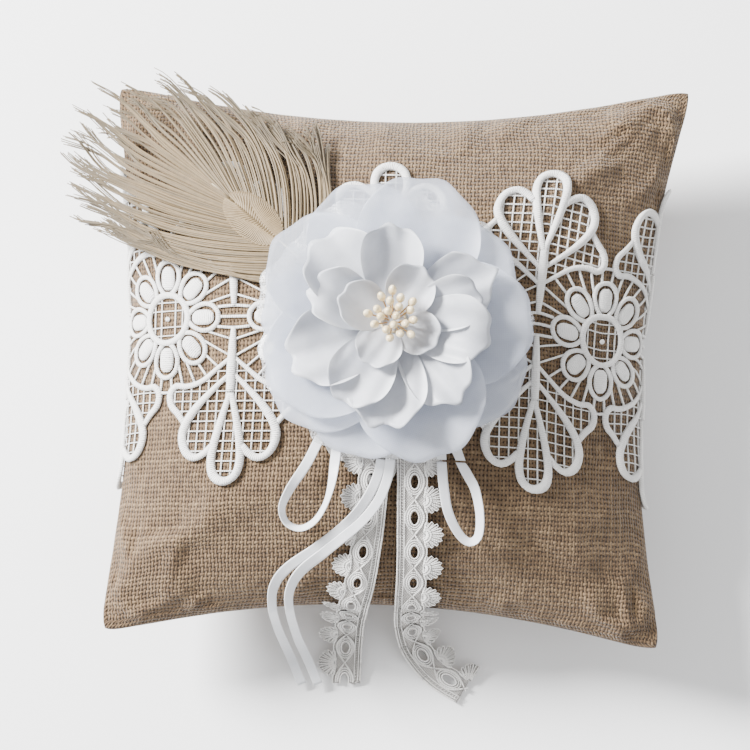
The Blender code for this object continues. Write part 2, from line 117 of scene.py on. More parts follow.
# Wrinkles start past the flower, the rest zone and the seam (the last as a share of the half width)
FLOWER_RADIUS = 0.0520
FLOWER_FADE = 0.0160
REST_MARGIN = 0.0005
REST_FADE = 0.0060
SEAM_FADE = 0.03
WARP_PITCH = 1.29
WEFT_PITCH = 1.66

# Lace band
LACE_MIDDLE = 0.115
LACE_CENTRE_X = -0.0034
LACE_REPEATS = 8
LACE_LOWEST = 0.00005
CORD_FLATNESS = 0.62

# Flower
FLOWER_CENTRE = (-0.0010, 0.0080)
GOLDEN_ANGLE = math.radians(137.508)
STAMEN_SPREAD = 0.0098
STAMEN_FOOT_SHARE = 0.28
STAMEN_LENGTH = 0.0115
STAMEN_FOOT = 0.0843
STAMEN_COUNT = 20
STAMEN_JITTER = 0.0005
PEARL_RADIUS = 0.0014
PEARL_HALF_LENGTH = 0.0020
STAMEN_THREAD = 0.00025
PEARL_OVERLAP = 0.0004
TULLE_REACH = 0.0455
TULLE_GATHER = 0.0011
PETAL_ROWS = 34
PETAL_COLUMNS = 31
PETAL_WALL = 0.18 * MM
# A petal's width at its foot as a share of its widest, and how much higher one side is, in millimetres
PETAL_NECK = 0.22
PETAL_TWIST = 1.5

# Feather
FEATHER_HINGE = (-0.0345, 0.0312)
FEATHER_DIRECTION = math.radians(139.5)
FEATHER_SLOPE = 0.25
FEATHER_CURL = 6.0

# Strips
RIBBON_WIDTH = 0.0033
SATIN_WALL = 0.0003
TRIM_WIDTH = 0.0165
TRIM_WALL = 0.00035
TRIM_TOP_Y = -0.0250

# The left loop's ends lie under the petals, past the hinge line
LOOP_LEFT_ROUTE = (
    (-0.0235, -0.0300), (-0.0268, -0.0374), (-0.0290, -0.0415), (-0.0335, -0.0488), (-0.0358, -0.0548),
    (-0.0340, -0.0594), (-0.0295, -0.0611), (-0.0249, -0.0588), (-0.0214, -0.0535), (-0.0194, -0.0466),
    (-0.0184, -0.0374), (-0.0176, -0.0300),
)
LOOP_RIGHT_ROUTE = (
    (0.0172, -0.0374), (0.0182, -0.0452), (0.0200, -0.0535), (0.0236, -0.0602), (0.0275, -0.0634),
    (0.0306, -0.0615), (0.0309, -0.0548), (0.0290, -0.0465), (0.0262, -0.0415), (0.0236, -0.0374),
)
TAIL_LEFT_ROUTE = (
    (-0.0030, -0.0374), (-0.0040, -0.0430), (-0.0072, -0.0503), (-0.0132, -0.0583), (-0.0235, -0.0668),
    (-0.0330, -0.0735), (-0.0375, -0.0790), (-0.0386, -0.0850), (-0.0370, -0.0930), (-0.0325, -0.1025),
    (-0.0281, -0.1121),
)
TAIL_RIGHT_ROUTE = (
    (0.0001, -0.0374), (-0.0008, -0.0440), (-0.0037, -0.0515), (-0.0097, -0.0590), (-0.0200, -0.0676),
    (-0.0288, -0.0748), (-0.0324, -0.0810), (-0.0325, -0.0872), (-0.0303, -0.0954), (-0.0261, -0.1037),
    (-0.0223, -0.1119),
)
# A crochet trim's route is its straight inner edge
TRIM_LEFT_EDGE = (
    (0.0001, -0.0374), (-0.0003, -0.0479), (-0.0009, -0.0577), (-0.0019, -0.0674), (-0.0033, -0.0770),
    (-0.0051, -0.0842), (-0.0065, -0.0905), (-0.0070, -0.1005), (-0.0069, -0.1116),
)
TRIM_RIGHT_EDGE = (
    (0.0022, -0.0374), (0.0026, -0.0472), (0.0030, -0.0569), (0.0034, -0.0665), (0.0036, -0.0761),
    (0.0035, -0.0835), (0.0038, -0.0896), (0.0068, -0.0970), (0.0144, -0.1047), (0.0239, -0.1100),
)


# ---------------------------------------------------------------- camera, floor and light

def deselect_all():
    for o in bpy.context.view_layer.objects:
        o.select_set(False)


def linear(hex_colour):
    """An sRGB hex colour as linear RGBA."""
    channels = [int(hex_colour[i:i + 2], 16) / 255 for i in (1, 3, 5)]
    return (*[c / 12.92 if c <= 0.04045 else ((c + 0.055) / 1.055) ** 2.4 for c in channels], 1.0)


def add_camera():
    back = Vector((0, -math.cos(LOOKING_DOWN), math.sin(LOOKING_DOWN)))
    right = Vector((1, 0, 0))
    up = back.cross(right)
    across = right * math.cos(ROLL) + up * math.sin(ROLL)
    upright = -right * math.sin(ROLL) + up * math.cos(ROLL)
    lens = bpy.data.cameras.new("camera")
    lens.lens = LENS
    lens.sensor_width = 36.0
    camera = bpy.data.objects.new("camera", lens)
    turned = Matrix((across, upright, back)).transposed().to_4x4()
    camera.matrix_world = Matrix.Translation(Vector(AIM) + back * DISTANCE) @ turned
    bpy.context.scene.collection.objects.link(camera)
    bpy.context.scene.camera = camera


def add_light(name, place, size, power, colour):
    """A round soft light that faces the pillow."""
    lamp = bpy.data.lights.new(name, "AREA")
    lamp.shape = "DISK"
    lamp.size = size
    lamp.energy = power
    lamp.color = linear(colour)[:3]
    made = bpy.data.objects.new(name, lamp)
    made.location = place
    made.rotation_euler = (Vector(LIGHT_TARGET) - Vector(place)).to_track_quat("-Z", "Y").to_euler()
    bpy.context.scene.collection.objects.link(made)


def add_node(tree, kind, inputs=(), steps=(), **settings):
    """One node with its settings, and each input linked or set. A node given as an input stands for its
    first output, and steps are the (place, hex colour) pairs of a colour ramp."""
    made = tree.nodes.new("ShaderNode" + kind)
    for name, value in settings.items():
        setattr(made, name, value)
    for key, value in inputs.items() if isinstance(inputs, dict) else enumerate(inputs):
        if isinstance(value, bpy.types.Node):
            value = value.outputs[0]
        if isinstance(value, bpy.types.NodeSocket):
            tree.links.new(value, made.inputs[key])
        else:
            made.inputs[key].default_value = value
    if steps:
        elements = made.color_ramp.elements
        while len(elements) < len(steps):
            elements.new(0.5)
        for element, (place, colour) in zip(elements, steps):
            element.position = place
            element.color = linear(colour)
    return made


def new_material(name):
    """A material with an empty node tree, and that tree."""
    made = bpy.data.materials.new(name)
    made.use_nodes = True
    made.node_tree.nodes.clear()
    return made, made.node_tree


# ---------------------------------------------------------------- the cushion's surface

def blend(low, high, place):
    return low + (high - low) * (place + 1) / 2


def half_sizes(u, v, inset):
    half_x = HALF_WIDTH - inset - blend(SAG_LEFT, SAG_RIGHT, u) * (1 - v * v)
    half_y = HALF_HEIGHT - inset - blend(SAG_BOTTOM, SAG_TOP, v) * (1 - u * u)
    return half_x, half_y


def corner_offset(u, v):
    x = sum((1 + sx * u) * (1 + sy * v) / 4 * shift[0] for (sx, sy), shift in CORNER_STRETCH.items())
    y = sum((1 + sx * u) * (1 + sy * v) / 4 * shift[1] for (sx, sy), shift in CORNER_STRETCH.items())
    pull = CORNER_ROUNDING * (u * v) ** 16
    return x - np.copysign(pull, u), y - np.copysign(pull, v)


def plan_point(u, v, inset):
    half_x, half_y = half_sizes(u, v, inset)
    dx, dy = corner_offset(u, v)
    return u * half_x + dx, v * half_y + dy


def grid_place(x, y, inset):
    """The grid place (u, v) of a plan point, found by fixed-point steps."""
    u = x / HALF_WIDTH
    v = y / HALF_HEIGHT
    for _ in range(12):
        inner_u, inner_v = np.clip(u, -1, 1), np.clip(v, -1, 1)
        half_x, half_y = half_sizes(inner_u, inner_v, inset)
        dx, dy = corner_offset(inner_u, inner_v)
        u = (x - dx) / half_x
        v = (y - dy) / half_y
    return u, v


def fullness(u, v):
    return (np.maximum(0.0, 1 - u * u) * np.maximum(0.0, 1 - v * v)) ** CROWN_POWER


# Heights of the wrinkles on the front (1) and the back (-1), filled in by stuff_cover
WRINKLES = {side: np.zeros((SIM_CELLS + 1, SIM_CELLS + 1)) for side in (1, -1)}


def wrinkle_cell(u):
    """The cell of the wrinkle table that a grid place falls in, and its share of the way across."""
    place = (np.arcsin(np.clip(u, -1, 1)) / (math.pi / 2) + 1) / 2 * SIM_CELLS
    low = np.clip(np.floor(place).astype(int), 0, SIM_CELLS - 1)
    return low, place - low


def wrinkle(u, v, side):
    """How far the stuffed cloth stands off the plain cushion surface at a grid place."""
    i, fi = wrinkle_cell(u)
    j, fj = wrinkle_cell(v)
    table = WRINKLES[side]
    low = table[j, i] * (1 - fi) + table[j, i + 1] * fi
    high = table[j + 1, i] * (1 - fi) + table[j + 1, i + 1] * fi
    return low * (1 - fj) + high * fj


def cushion(u, v, side, lift):
    """Points this far outside the cover, on the front (side 1) or the back (side -1)."""
    x, y = plan_point(u, v, -lift)
    if side > 0:
        z = SEAM_HEIGHT + (FRONT_CROWN + lift) * fullness(u, v)
    else:
        z = np.maximum(SEAM_HEIGHT - (BACK_CROWN + lift) * fullness(u, v), REST_HEIGHT - lift)
    return np.stack([x, y, z + wrinkle(u, v, side)], axis=-1)


def lying_height(x, y, lift):
    """Height of a soft piece this far above the cover, or falling to the table past its edge."""
    u, v = grid_place(x, y, -lift)
    edge = np.maximum(np.abs(u), np.abs(v))
    inside = SEAM_HEIGHT + (FRONT_CROWN + lift) * fullness(np.clip(u, -1, 1), np.clip(v, -1, 1))
    inside = inside + wrinkle(u, v, 1)
    brim = SEAM_HEIGHT + (FRONT_CROWN + lift) * (1 - FALL_START**2) ** CROWN_POWER
    beyond = np.maximum(0, edge - FALL_START) * (HALF_HEIGHT - SAG_BOTTOM)
    table = TABLE_CLEARANCE + lift - TRIM_LIFT
    falling = table + (brim - table) * np.exp(-beyond / FALL_LENGTH)
    return np.where(edge <= FALL_START, inside, falling)


def smooth_route(points, steps):
    """A Catmull-Rom curve through the points, with even parameter steps."""
    inner = np.array(points, float)
    ends = np.vstack([2 * inner[0] - inner[1], inner, 2 * inner[-1] - inner[-2]])
    spans = len(inner) - 1
    place = np.minimum(np.arange(steps + 1) * spans / steps, spans - 1e-9)
    k = place.astype(int)
    t = (place - k)[:, None]
    a, b, c, d = ends[k], ends[k + 1], ends[k + 2], ends[k + 3]
    return 0.5 * (2 * b + (c - a) * t + (2 * a - 5 * b + 4 * c - d) * t**2 + (3 * b - a - 3 * c + d) * t**3)


def arc_lengths(points):
    steps = np.linalg.norm(np.diff(points, axis=0), axis=1)
    return np.concatenate([[0.0], np.cumsum(steps)])


def even_points(points, spacing):
    """The same line with evenly spaced points."""
    points = np.asarray(points, float)
    along = arc_lengths(points)
    count = max(2, int(round(along[-1] / spacing)) + 1)
    places = np.linspace(0, along[-1], count)
    return np.stack([np.interp(places, along, points[:, k]) for k in range(points.shape[1])], axis=1)


# ---------------------------------------------------------------- mesh code for cloth and thread

class Parts:
    """Points and four-sided faces gathered part by part, with face-corner UVs and a tone for each point."""

    def __init__(self):
        self.points, self.quads, self.uvs, self.tones, self.count = [], [], [], [], 0

    def add(self, points, quads, uvs, tone=0.0):
        self.points.append(points)
        self.quads.append(quads + self.count)
        self.uvs.append(uvs)
        self.tones.append(np.zeros(len(points)) + tone)
        self.count += len(points)

    def arrays(self):
        return (
            np.concatenate(self.points), np.concatenate(self.quads),
            np.concatenate(self.uvs), np.concatenate(self.tones),
        )


def make_object(name, points, quads, uvs, tones, material):
    """An object from arrays of points, four-sided faces, corner UVs and tones."""
    mesh = bpy.data.meshes.new(name)
    mesh.vertices.add(len(points))
    mesh.vertices.foreach_set("co", np.ascontiguousarray(points, np.float32).ravel())
    mesh.loops.add(4 * len(quads))
    mesh.loops.foreach_set("vertex_index", np.ascontiguousarray(quads, np.int32).ravel())
    mesh.polygons.add(len(quads))
    mesh.polygons.foreach_set("loop_start", np.arange(0, 4 * len(quads), 4, dtype=np.int32))
    mesh.polygons.foreach_set("use_smooth", np.ones(len(quads), bool))
    layer = mesh.uv_layers.new(name="cloth")
    layer.data.foreach_set("uv", np.ascontiguousarray(uvs, np.float32).ravel())
    tone = mesh.attributes.new("tone", "FLOAT", "POINT")
    tone.data.foreach_set("value", np.ascontiguousarray(tones, np.float32))
    mesh.materials.append(material)
    mesh.update(calc_edges=True)
    mesh.validate()
    made = bpy.data.objects.new(name, mesh)
    bpy.context.scene.collection.objects.link(made)
    return made


def grid_quads(columns, rows, wrap=False):
    """Faces of a grid whose points run along the columns first; wrap joins the last column to the first."""
    i, j = np.meshgrid(np.arange(columns if wrap else columns - 1), np.arange(rows - 1))
    i, j = i.ravel(), j.ravel()
    n = (i + 1) % columns
    return np.stack([j * columns + i, j * columns + n, (j + 1) * columns + n, (j + 1) * columns + i], axis=1)


def grid_uvs(columns, rows, uv_columns, uv_rows, wrap=False):
    """Corner UVs of that grid, from a UV for each column line and each row line."""
    i, j = np.meshgrid(np.arange(columns if wrap else columns - 1), np.arange(rows - 1))
    i, j = i.ravel(), j.ravel()
    a, b, c, d = uv_columns[i], uv_columns[i + 1], uv_rows[j], uv_rows[j + 1]
    return np.stack([np.stack([a, c], 1), np.stack([b, c], 1), np.stack([b, d], 1), np.stack([a, d], 1)], 1)


def tube(line, radius, sides=6, flatness=1.0, closed=False):
    """A round or oval thread along a line, upright to +Z: points, faces and UVs (turn, millimetres)."""
    line = np.asarray(line, float)
    if closed:
        ahead, behind = np.roll(line, -1, axis=0), np.roll(line, 1, axis=0)
    else:
        ahead, behind = np.vstack([line[1:], line[-1:]]), np.vstack([line[:1], line[:-1]])
    along = ahead - behind
    along /= np.maximum(np.linalg.norm(along, axis=1), 1e-12)[:, None]
    side = np.cross(along, (0.0, 0.0, 1.0))
    side /= np.maximum(np.linalg.norm(side, axis=1), 1e-9)[:, None]
    over = np.cross(side, along)
    radius = np.zeros(len(line)) + radius
    turns = 2 * np.pi * (np.arange(sides) + 0.5) / sides
    ring = side[:, None] * np.cos(turns)[None, :, None]
    ring = ring + over[:, None] * (flatness * np.sin(turns))[None, :, None]
    points = (line[:, None] + ring * radius[:, None, None]).reshape(-1, 3)
    lengths = arc_lengths(np.vstack([line, line[:1]]) if closed else line) / MM
    quads = grid_quads(sides, len(lengths), wrap=True)
    uvs = grid_uvs(sides, len(lengths), np.arange(sides + 1) / sides, lengths, wrap=True)
    if closed:
        return points, quads % len(points), uvs
    caps = []
    for first, turn in ((0, -1), ((len(line) - 1) * sides, 1)):
        for k in range(1, sides - 2, 2):
            caps.append([first, *[first + k + n for n in range(3)]][::turn])
    caps = np.array(caps)
    cap_uvs = np.zeros((len(caps), 4, 2)) + np.array((0.5, 0.0))
    return points, np.vstack([quads, caps]), np.concatenate([uvs, cap_uvs])


def add_tube(parts, line, radius, tone=0.0, **settings):
    points, quads, uvs = tube(line, radius, **settings)
    parts.add(points, quads, uvs, tone)


def cloth_strip(line, sides, wall, uv_width):
    """A flat strip with a thin wall: centre line and half-side vectors, both in 3-D."""
    up = np.cross(sides, np.gradient(line, axis=0))
    up /= np.linalg.norm(up, axis=1)[:, None]
    up *= np.sign(up[:, 2:3] + 1e-9)
    across = np.linspace(-1, 1, 7)
    top = line[:, None] + sides[:, None] * across[None, :, None] + up[:, None] * wall / 2
    bottom = line[:, None] + sides[:, None] * across[::-1][None, :, None] - up[:, None] * wall / 2
    loop = np.concatenate([top, bottom], axis=1)
    columns = loop.shape[1]
    rows = len(line)
    lengths = arc_lengths(line) / MM
    uv_columns = np.concatenate([across, across[::-1], across[:1]]) * uv_width / 2
    quads = grid_quads(columns, rows, wrap=True)
    uvs = grid_uvs(columns, rows, uv_columns, lengths, wrap=True)
    caps = []
    for first, turn in ((0, -1), ((rows - 1) * columns, 1)):
        for k in range(6):
            caps.append([first + k, first + k + 1, first + 12 - k, first + 13 - k][::turn])
    caps = np.array(caps)
    cap_uvs = np.zeros((len(caps), 4, 2))
    return loop.reshape(-1, 3), np.vstack([quads, caps]), np.concatenate([uvs, cap_uvs])


def outward(obj, merge=0.0):
    """Turns all faces of a mesh outwards, after points closer than merge are made one."""
    deselect_all()
    bpy.context.view_layer.objects.active = obj
    obj.select_set(True)
    bpy.ops.object.mode_set(mode="EDIT")
    bpy.ops.mesh.select_all(action="SELECT")
    if merge:
        bpy.ops.mesh.remove_doubles(threshold=merge)
    bpy.ops.mesh.normals_make_consistent(inside=False)
    bpy.ops.object.mode_set(mode="OBJECT")
    obj.select_set(False)


# ---------------------------------------------------------------- materials

def cloth_axes(tree, wander=0.0, wander_scale=0.1):
    """The cloth's UV in millimetres and its two directions, with threads that wander a little."""
    uv = add_node(tree, "UVMap", uv_map="cloth")
    if wander:
        drift = add_node(tree, "TexNoise", {"Vector": uv, "Scale": wander_scale})
        drift = add_node(tree, "VectorMath", (drift.outputs["Color"], (0.5, 0.5, 0.5)), operation="SUBTRACT")
        drift = add_node(tree, "VectorMath", {0: drift, "Scale": wander}, operation="SCALE")
        uv = add_node(tree, "VectorMath", (uv, drift), operation="ADD")
    split = add_node(tree, "SeparateXYZ", (uv,))
    return uv, split.outputs["X"], split.outputs["Y"]


def object_mm(tree):
    """Object coordinates in millimetres."""
    place = add_node(tree, "TexCoord").outputs["Object"]
    return add_node(tree, "VectorMath", {0: place, "Scale": 1000.0}, operation="SCALE")


def thread_wave(tree, place, pitch, turn=2 * math.pi):
    """A wave along a place in millimetres, one turn for each pitch."""
    angle = add_node(tree, "Math", (place, turn / pitch), operation="MULTIPLY")
    return add_node(tree, "Math", (angle,), operation="SINE")


def layered(tree, base, *layers):
    """A value with layers added to it, each a value times its share plus an offset."""
    for value, share, offset in layers:
        layer = add_node(tree, "Math", (value, share, offset), operation="MULTIPLY_ADD")
        base = add_node(tree, "Math", (base, layer), operation="ADD")
    return base


def relief_surface(tree, colour, roughness, height, depth, strength, **sockets):
    """A surface with relief from a height; other sockets are set by name, with _ for each space."""
    relief = add_node(tree, "Bump", {"Height": height, "Distance": depth, "Strength": strength})
    others = {name.replace("_", " "): value for name, value in sockets.items()}
    return add_node(
        tree, "BsdfPrincipled", {"Base Color": colour, "Roughness": roughness, "Normal": relief} | others
    )


def light_through(tree, surface, colour, share):
    """A thin piece, which lets this share of the light through in its own colour."""
    far_side = add_node(tree, "BsdfTranslucent", {"Color": colour})
    return add_node(tree, "MixShader", (share, surface, far_side))


def finish_material(tree, surface):
    add_node(tree, "OutputMaterial", {"Surface": surface})


def jute_burlap():
    """Undyed jute burlap: thick uneven yarns in an open plain weave, matte, with the gaps between them
    painted dark as painted shade.
    """
    made, tree = new_material("jute_burlap")
    uv, x, y = cloth_axes(tree, wander=1.7, wander_scale=0.09)
    slub = add_node(tree, "TexNoise", {"Vector": uv, "Scale": 0.35, "Detail": 3.0})
    waves, tones, yarns, fibres = [], [], [], []
    for place, pitch, first, stretch in (
        (x, WARP_PITCH, 0.0, (7.0, 0.9, 1.0)),
        (y, WEFT_PITCH, 500.0, (0.9, 7.0, 1.0)),
    ):
        count = add_node(tree, "Math", (place, pitch), operation="DIVIDE")
        wave = thread_wave(tree, count, 1.0, turn=math.pi)
        number = add_node(tree, "Math", (count,), operation="FLOOR")
        number = add_node(tree, "Math", (number, first), operation="ADD")
        tone = add_node(tree, "TexWhiteNoise", {"W": number}, noise_dimensions="1D")
        thick = add_node(tree, "Math", (tone, 0.14, 0.86), operation="MULTIPLY_ADD")
        rounded = add_node(tree, "Math", (wave,), operation="ABSOLUTE")
        drawn = add_node(tree, "VectorMath", (uv, stretch), operation="MULTIPLY")
        waves.append(wave)
        tones.append(tone)
        yarns.append(add_node(tree, "Math", (rounded, thick), operation="MULTIPLY"))
        fibres.append(add_node(tree, "TexNoise", {"Vector": drawn, "Scale": 1.0}))
    over_under = add_node(tree, "Math", waves, operation="MULTIPLY")
    over_under = add_node(tree, "Math", (over_under, 0.45), operation="MULTIPLY")
    warp = add_node(tree, "Math", (yarns[0], over_under), operation="ADD")
    weft = add_node(tree, "Math", (yarns[1], over_under), operation="SUBTRACT")
    height = layered(tree, add_node(tree, "Math", (warp, weft), operation="MAXIMUM"), (slub, 0.7, -0.35))
    warp_on_top = add_node(tree, "Math", (warp, weft), operation="GREATER_THAN")
    tone, fibre = [
        add_node(tree, "Mix", {"Factor": warp_on_top, "A": of_weft, "B": of_warp}, data_type="FLOAT")
        for of_warp, of_weft in (tones, fibres)
    ]
    shade = add_node(tree, "Math", (tone, 0.20, 0.40), operation="MULTIPLY_ADD")
    shade = layered(tree, shade, (fibre, 0.55, -0.28), (slub, 0.5, -0.25))
    steps = [(0.0, "#46362A"), (0.45, "#68533D"), (0.75, "#877155"), (1.0, "#A79375")]
    yarn = add_node(tree, "ValToRGB", (shade,), steps=steps)
    solid = add_node(
        tree, "MapRange", {"Value": height, "From Min": 0.36, "From Max": 0.90},
        interpolation_type="SMOOTHSTEP",
    )
    # Painted shade: where no yarn lies, the gaps are painted dark brown for the shade between the yarns
    colour = add_node(
        tree, "Mix", {"Factor": solid, 6: linear("#2E2012"), 7: yarn}, data_type="RGBA"
    ).outputs[2]
    relief = layered(tree, height, (fibre, 0.25, 0.0))
    finish_material(tree, relief_surface(
        tree, colour, 0.88, relief, 0.0006, 0.9, Sheen_Weight=0.15, Specular_IOR_Level=0.25,
    ))
    return made


def cord_thread(name, colours, stitch_pitch, depth, roughness, slant=0.0):
    """Thread wrapped or twisted round a cord: fine ridges across it with painted shade between them, and soft
    variation between parts.
    """
    made, tree = new_material(name)
    _, turn, length = cloth_axes(tree)
    grain = add_node(tree, "TexNoise", {"Vector": object_mm(tree), "Scale": 1.6, "Detail": 3.0})
    place = add_node(tree, "Math", (length, 2 * math.pi / stitch_pitch), operation="MULTIPLY")
    place = layered(tree, place, (turn, 2 * math.pi * slant, 0.0), (grain, 4.0, 0.0))
    ridge = add_node(tree, "Math", (place,), operation="SINE")
    ridge = add_node(tree, "Math", (ridge, 0.5, 0.5), operation="MULTIPLY_ADD")
    height = layered(tree, ridge, (grain, 0.8, 0.0))
    tone = add_node(tree, "Attribute", attribute_name="tone").outputs["Fac"]
    # Painted light and shade: the colour is paler on the stitch ridges and darker in the grooves between them
    shade = layered(tree, tone, (ridge, 0.35, 0.25), (grain, 0.4, -0.1))
    colour = add_node(tree, "ValToRGB", (shade,), steps=[(0.1, colours[0]), (0.9, colours[1])])
    surface = relief_surface(tree, colour, roughness, height, depth, 0.8, Sheen_Weight=0.2)
    finish_material(tree, light_through(tree, surface, colour, 0.12))
    return made


def sheer_cloth(name, colours, opacity, through, roughness, weave_pitch, sheen):
    """Thin woven petal cloth: soft light comes through it, and organza lets some sight through too."""
    made, tree = new_material(name)
    _, x, y = cloth_axes(tree)
    waves = [thread_wave(tree, place, weave_pitch) for place in (x, y)]
    weave = add_node(tree, "Math", waves, operation="ADD")
    weave = add_node(tree, "Math", (weave, 0.25, 0.5), operation="MULTIPLY_ADD")
    soft = add_node(
        tree, "TexNoise", {"Vector": object_mm(tree), "Scale": 0.12, "Detail": 3.0, "Roughness": 0.6}
    )
    # The petals' tone holds painted light and shade: paler rims and greyer middles
    tone = add_node(tree, "Attribute", attribute_name="tone").outputs["Fac"]
    shade = layered(tree, tone, (soft, 0.6, 0.1), (weave, 0.06, -0.03))
    colour = add_node(tree, "ValToRGB", (shade,), steps=[(0.0, colours[0]), (1.0, colours[1])])
    height = add_node(tree, "Math", (weave, 0.06, soft), operation="MULTIPLY_ADD")
    surface = relief_surface(
        tree, colour, roughness, height, 0.00015, 0.6, Sheen_Weight=sheen, Specular_IOR_Level=0.35,
    )
    cloth = light_through(tree, surface, colour, through)
    if opacity < 1:
        seen = add_node(tree, "Math", (weave, 0.04, opacity - 0.02), operation="MULTIPLY_ADD")
        cloth = add_node(tree, "MixShader", (seen, add_node(tree, "BsdfTransparent"), cloth))
    finish_material(tree, cloth)
    return made


def glitter_tulle():
    """Nylon tulle with glued glitter: a fine net, drawn at 0.9 mm so that it shows, with bright flecks."""
    made, tree = new_material("glitter_tulle")
    place = object_mm(tree)
    net_cells = add_node(
        tree, "TexVoronoi", {"Vector": place, "Scale": 1.1, "Randomness": 0.35}, feature="DISTANCE_TO_EDGE",
    )
    thread = add_node(tree, "Math", (net_cells, 0.13), operation="LESS_THAN")
    flecks = add_node(tree, "TexVoronoi", {"Vector": place, "Scale": 1.5}, feature="F1")
    near = add_node(tree, "Math", (flecks, 0.30), operation="LESS_THAN")
    chance = add_node(tree, "SeparateColor", (flecks.outputs["Color"],))
    chosen = add_node(tree, "Math", (chance, 0.45), operation="GREATER_THAN")
    fleck = add_node(tree, "Math", (near, chosen), operation="MULTIPLY")
    seen = add_node(tree, "Math", (thread, 0.75), operation="MULTIPLY")
    for other in (fleck, 0.25):
        seen = add_node(tree, "Math", (seen, other), operation="MAXIMUM")
    colour = add_node(
        tree, "Mix", {"Factor": fleck, 6: linear("#D9DADB"), 7: linear("#FFFFFF")}, data_type="RGBA"
    ).outputs[2]
    surface = relief_surface(tree, colour, 0.35, chance, 0.0006, 1.0, Metallic=0.15)
    finish_material(tree, add_node(tree, "MixShader", (seen, add_node(tree, "BsdfTransparent"), surface)))
    return made


def satin_ribbon():
    """Double-faced polyester satin: long floats that shine across the ribbon, with a firm woven edge."""
    made, tree = new_material("polyester_satin")
    _, across, along = cloth_axes(tree)
    floats = thread_wave(tree, along, 0.45)
    from_middle = add_node(tree, "Math", (across,), operation="ABSOLUTE")
    edge = add_node(tree, "MapRange", {"Value": from_middle, "From Min": 1.25, "From Max": 1.45})
    soft = add_node(tree, "TexNoise", {"Vector": object_mm(tree), "Scale": 0.25})
    height = layered(tree, edge, (floats, 0.15, 0.0))
    shade = add_node(tree, "Math", (soft, 0.6), operation="MULTIPLY")
    shade = layered(tree, shade, (edge, 0.3, 0.0))
    colour = add_node(tree, "ValToRGB", (shade,), steps=[(0.0, "#E6E8EC"), (1.0, "#FBFBFC")])
    surface = relief_surface(tree, colour, 0.34, height, 0.00015, 0.7, Sheen_Weight=0.2, Anisotropic=0.5)
    finish_material(tree, light_through(tree, surface, colour, 0.15))
    return made


def feather_keratin(name, colours, roughness, through):
    """Bleached feather keratin: dry, slightly glossy fibres, paler where they catch the light."""
    made, tree = new_material(name)
    streak = add_node(tree, "TexNoise", {"Vector": object_mm(tree), "Scale": 0.5, "Detail": 3.0})
    tone = add_node(tree, "Attribute", attribute_name="tone").outputs["Fac"]
    shade = layered(tree, tone, (streak, 0.4, 0.1))
    colour = add_node(tree, "ValToRGB", (shade,), steps=list(zip((0.0, 0.5, 1.0), colours)))
    surface = relief_surface(tree, colour, roughness, streak, 0.0001, 0.4, Sheen_Weight=0.2)
    finish_material(tree, light_through(tree, surface, colour, through))
    return made


def pearl_lacquer():
    """Moulded stamen heads dipped in pearl lacquer: a soft cream gloss over a duller core."""
    made, tree = new_material("pearl_lacquer")
    soft = add_node(tree, "TexNoise", {"Vector": object_mm(tree), "Scale": 0.7})
    steps = [(0.2, "#B99A66"), (0.5, "#E3D0A6"), (0.85, "#F7EDD6")]
    colour = add_node(tree, "ValToRGB", (soft,), steps=steps)
    finish_material(tree, relief_surface(
        tree, colour, 0.3, soft, 0.0001, 0.4, Coat_Weight=0.5, Coat_Roughness=0.2,
    ))
    return made


def plain_cloth(name, colours, weave_pitch, roughness, fuzz):
    """Plain small-scale cloth or felt on Object coordinates, for the pieces inside and under the flower."""
    made, tree = new_material(name)
    place = object_mm(tree)
    height = add_node(
        tree, "TexNoise", {"Vector": place, "Scale": 1.0 + fuzz, "Detail": 4.0, "Roughness": 0.7}
    )
    if weave_pitch:
        split = add_node(tree, "SeparateXYZ", (place,))
        waves = [thread_wave(tree, split.outputs[axis], weave_pitch) for axis in "XY"]
        weave = add_node(tree, "Math", waves, operation="MULTIPLY")
        height = add_node(tree, "Math", (weave, 0.4, height), operation="MULTIPLY_ADD")
    colour = add_node(tree, "ValToRGB", (height,), steps=[(0.2, colours[0]), (0.8, colours[1])])
    finish_material(tree, relief_surface(tree, colour, roughness, height, 0.0002, 0.7))
    return made


def studio_floor():
    """Matt white paper sweep."""
    made, tree = new_material("paper_floor")
    soft = add_node(tree, "TexNoise", {"Vector": object_mm(tree), "Scale": 0.004})
    colour = add_node(tree, "ValToRGB", (soft,), steps=[(0.0, "#FBFBFB"), (1.0, "#FEFEFE")])
    finish_material(tree, add_node(tree, "BsdfPrincipled", {"Base Color": colour, "Roughness": 0.9}))
    return made


# ---------------------------------------------------------------- cover

def grid_values(cells):
    return np.sin(np.pi / 2 * (2 * np.arange(cells + 1) / cells - 1))


def closed_cushion(cells):
    """Points and faces of the closed cushion form, its front and back as grids, and a grid's faces."""
    lines = grid_values(cells)
    n = cells + 1
    u, v = np.meshgrid(lines, lines)
    front = cushion(u, v, 1, 0.0).reshape(-1, 3)
    back = cushion(u, v, -1, 0.0).reshape(-1, 3)
    index = np.arange(n * n).reshape(n, n)
    inner = np.zeros((n, n), bool)
    inner[1:-1, 1:-1] = True
    back_index = index.copy()
    back_index[inner] = n * n + np.arange(inner.sum())
    quads = grid_quads(n, n)
    back_quads = back_index.ravel()[quads][:, ::-1]
    points = np.vstack([front, back[inner.ravel()]])
    return points, np.vstack([quads, back_quads]), (front.reshape(n, n, 3), back.reshape(n, n, 3)), quads


def smoothed(table, passes):
    """A grid of values, averaged with its neighbours a number of times, with its rim held."""
    for _ in range(passes):
        inner = table[:-2, 1:-1] + table[2:, 1:-1] + table[1:-1, :-2] + table[1:-1, 2:]
        table = table.copy()
        table[1:-1, 1:-1] = 0.5 * table[1:-1, 1:-1] + 0.125 * inner
    return table


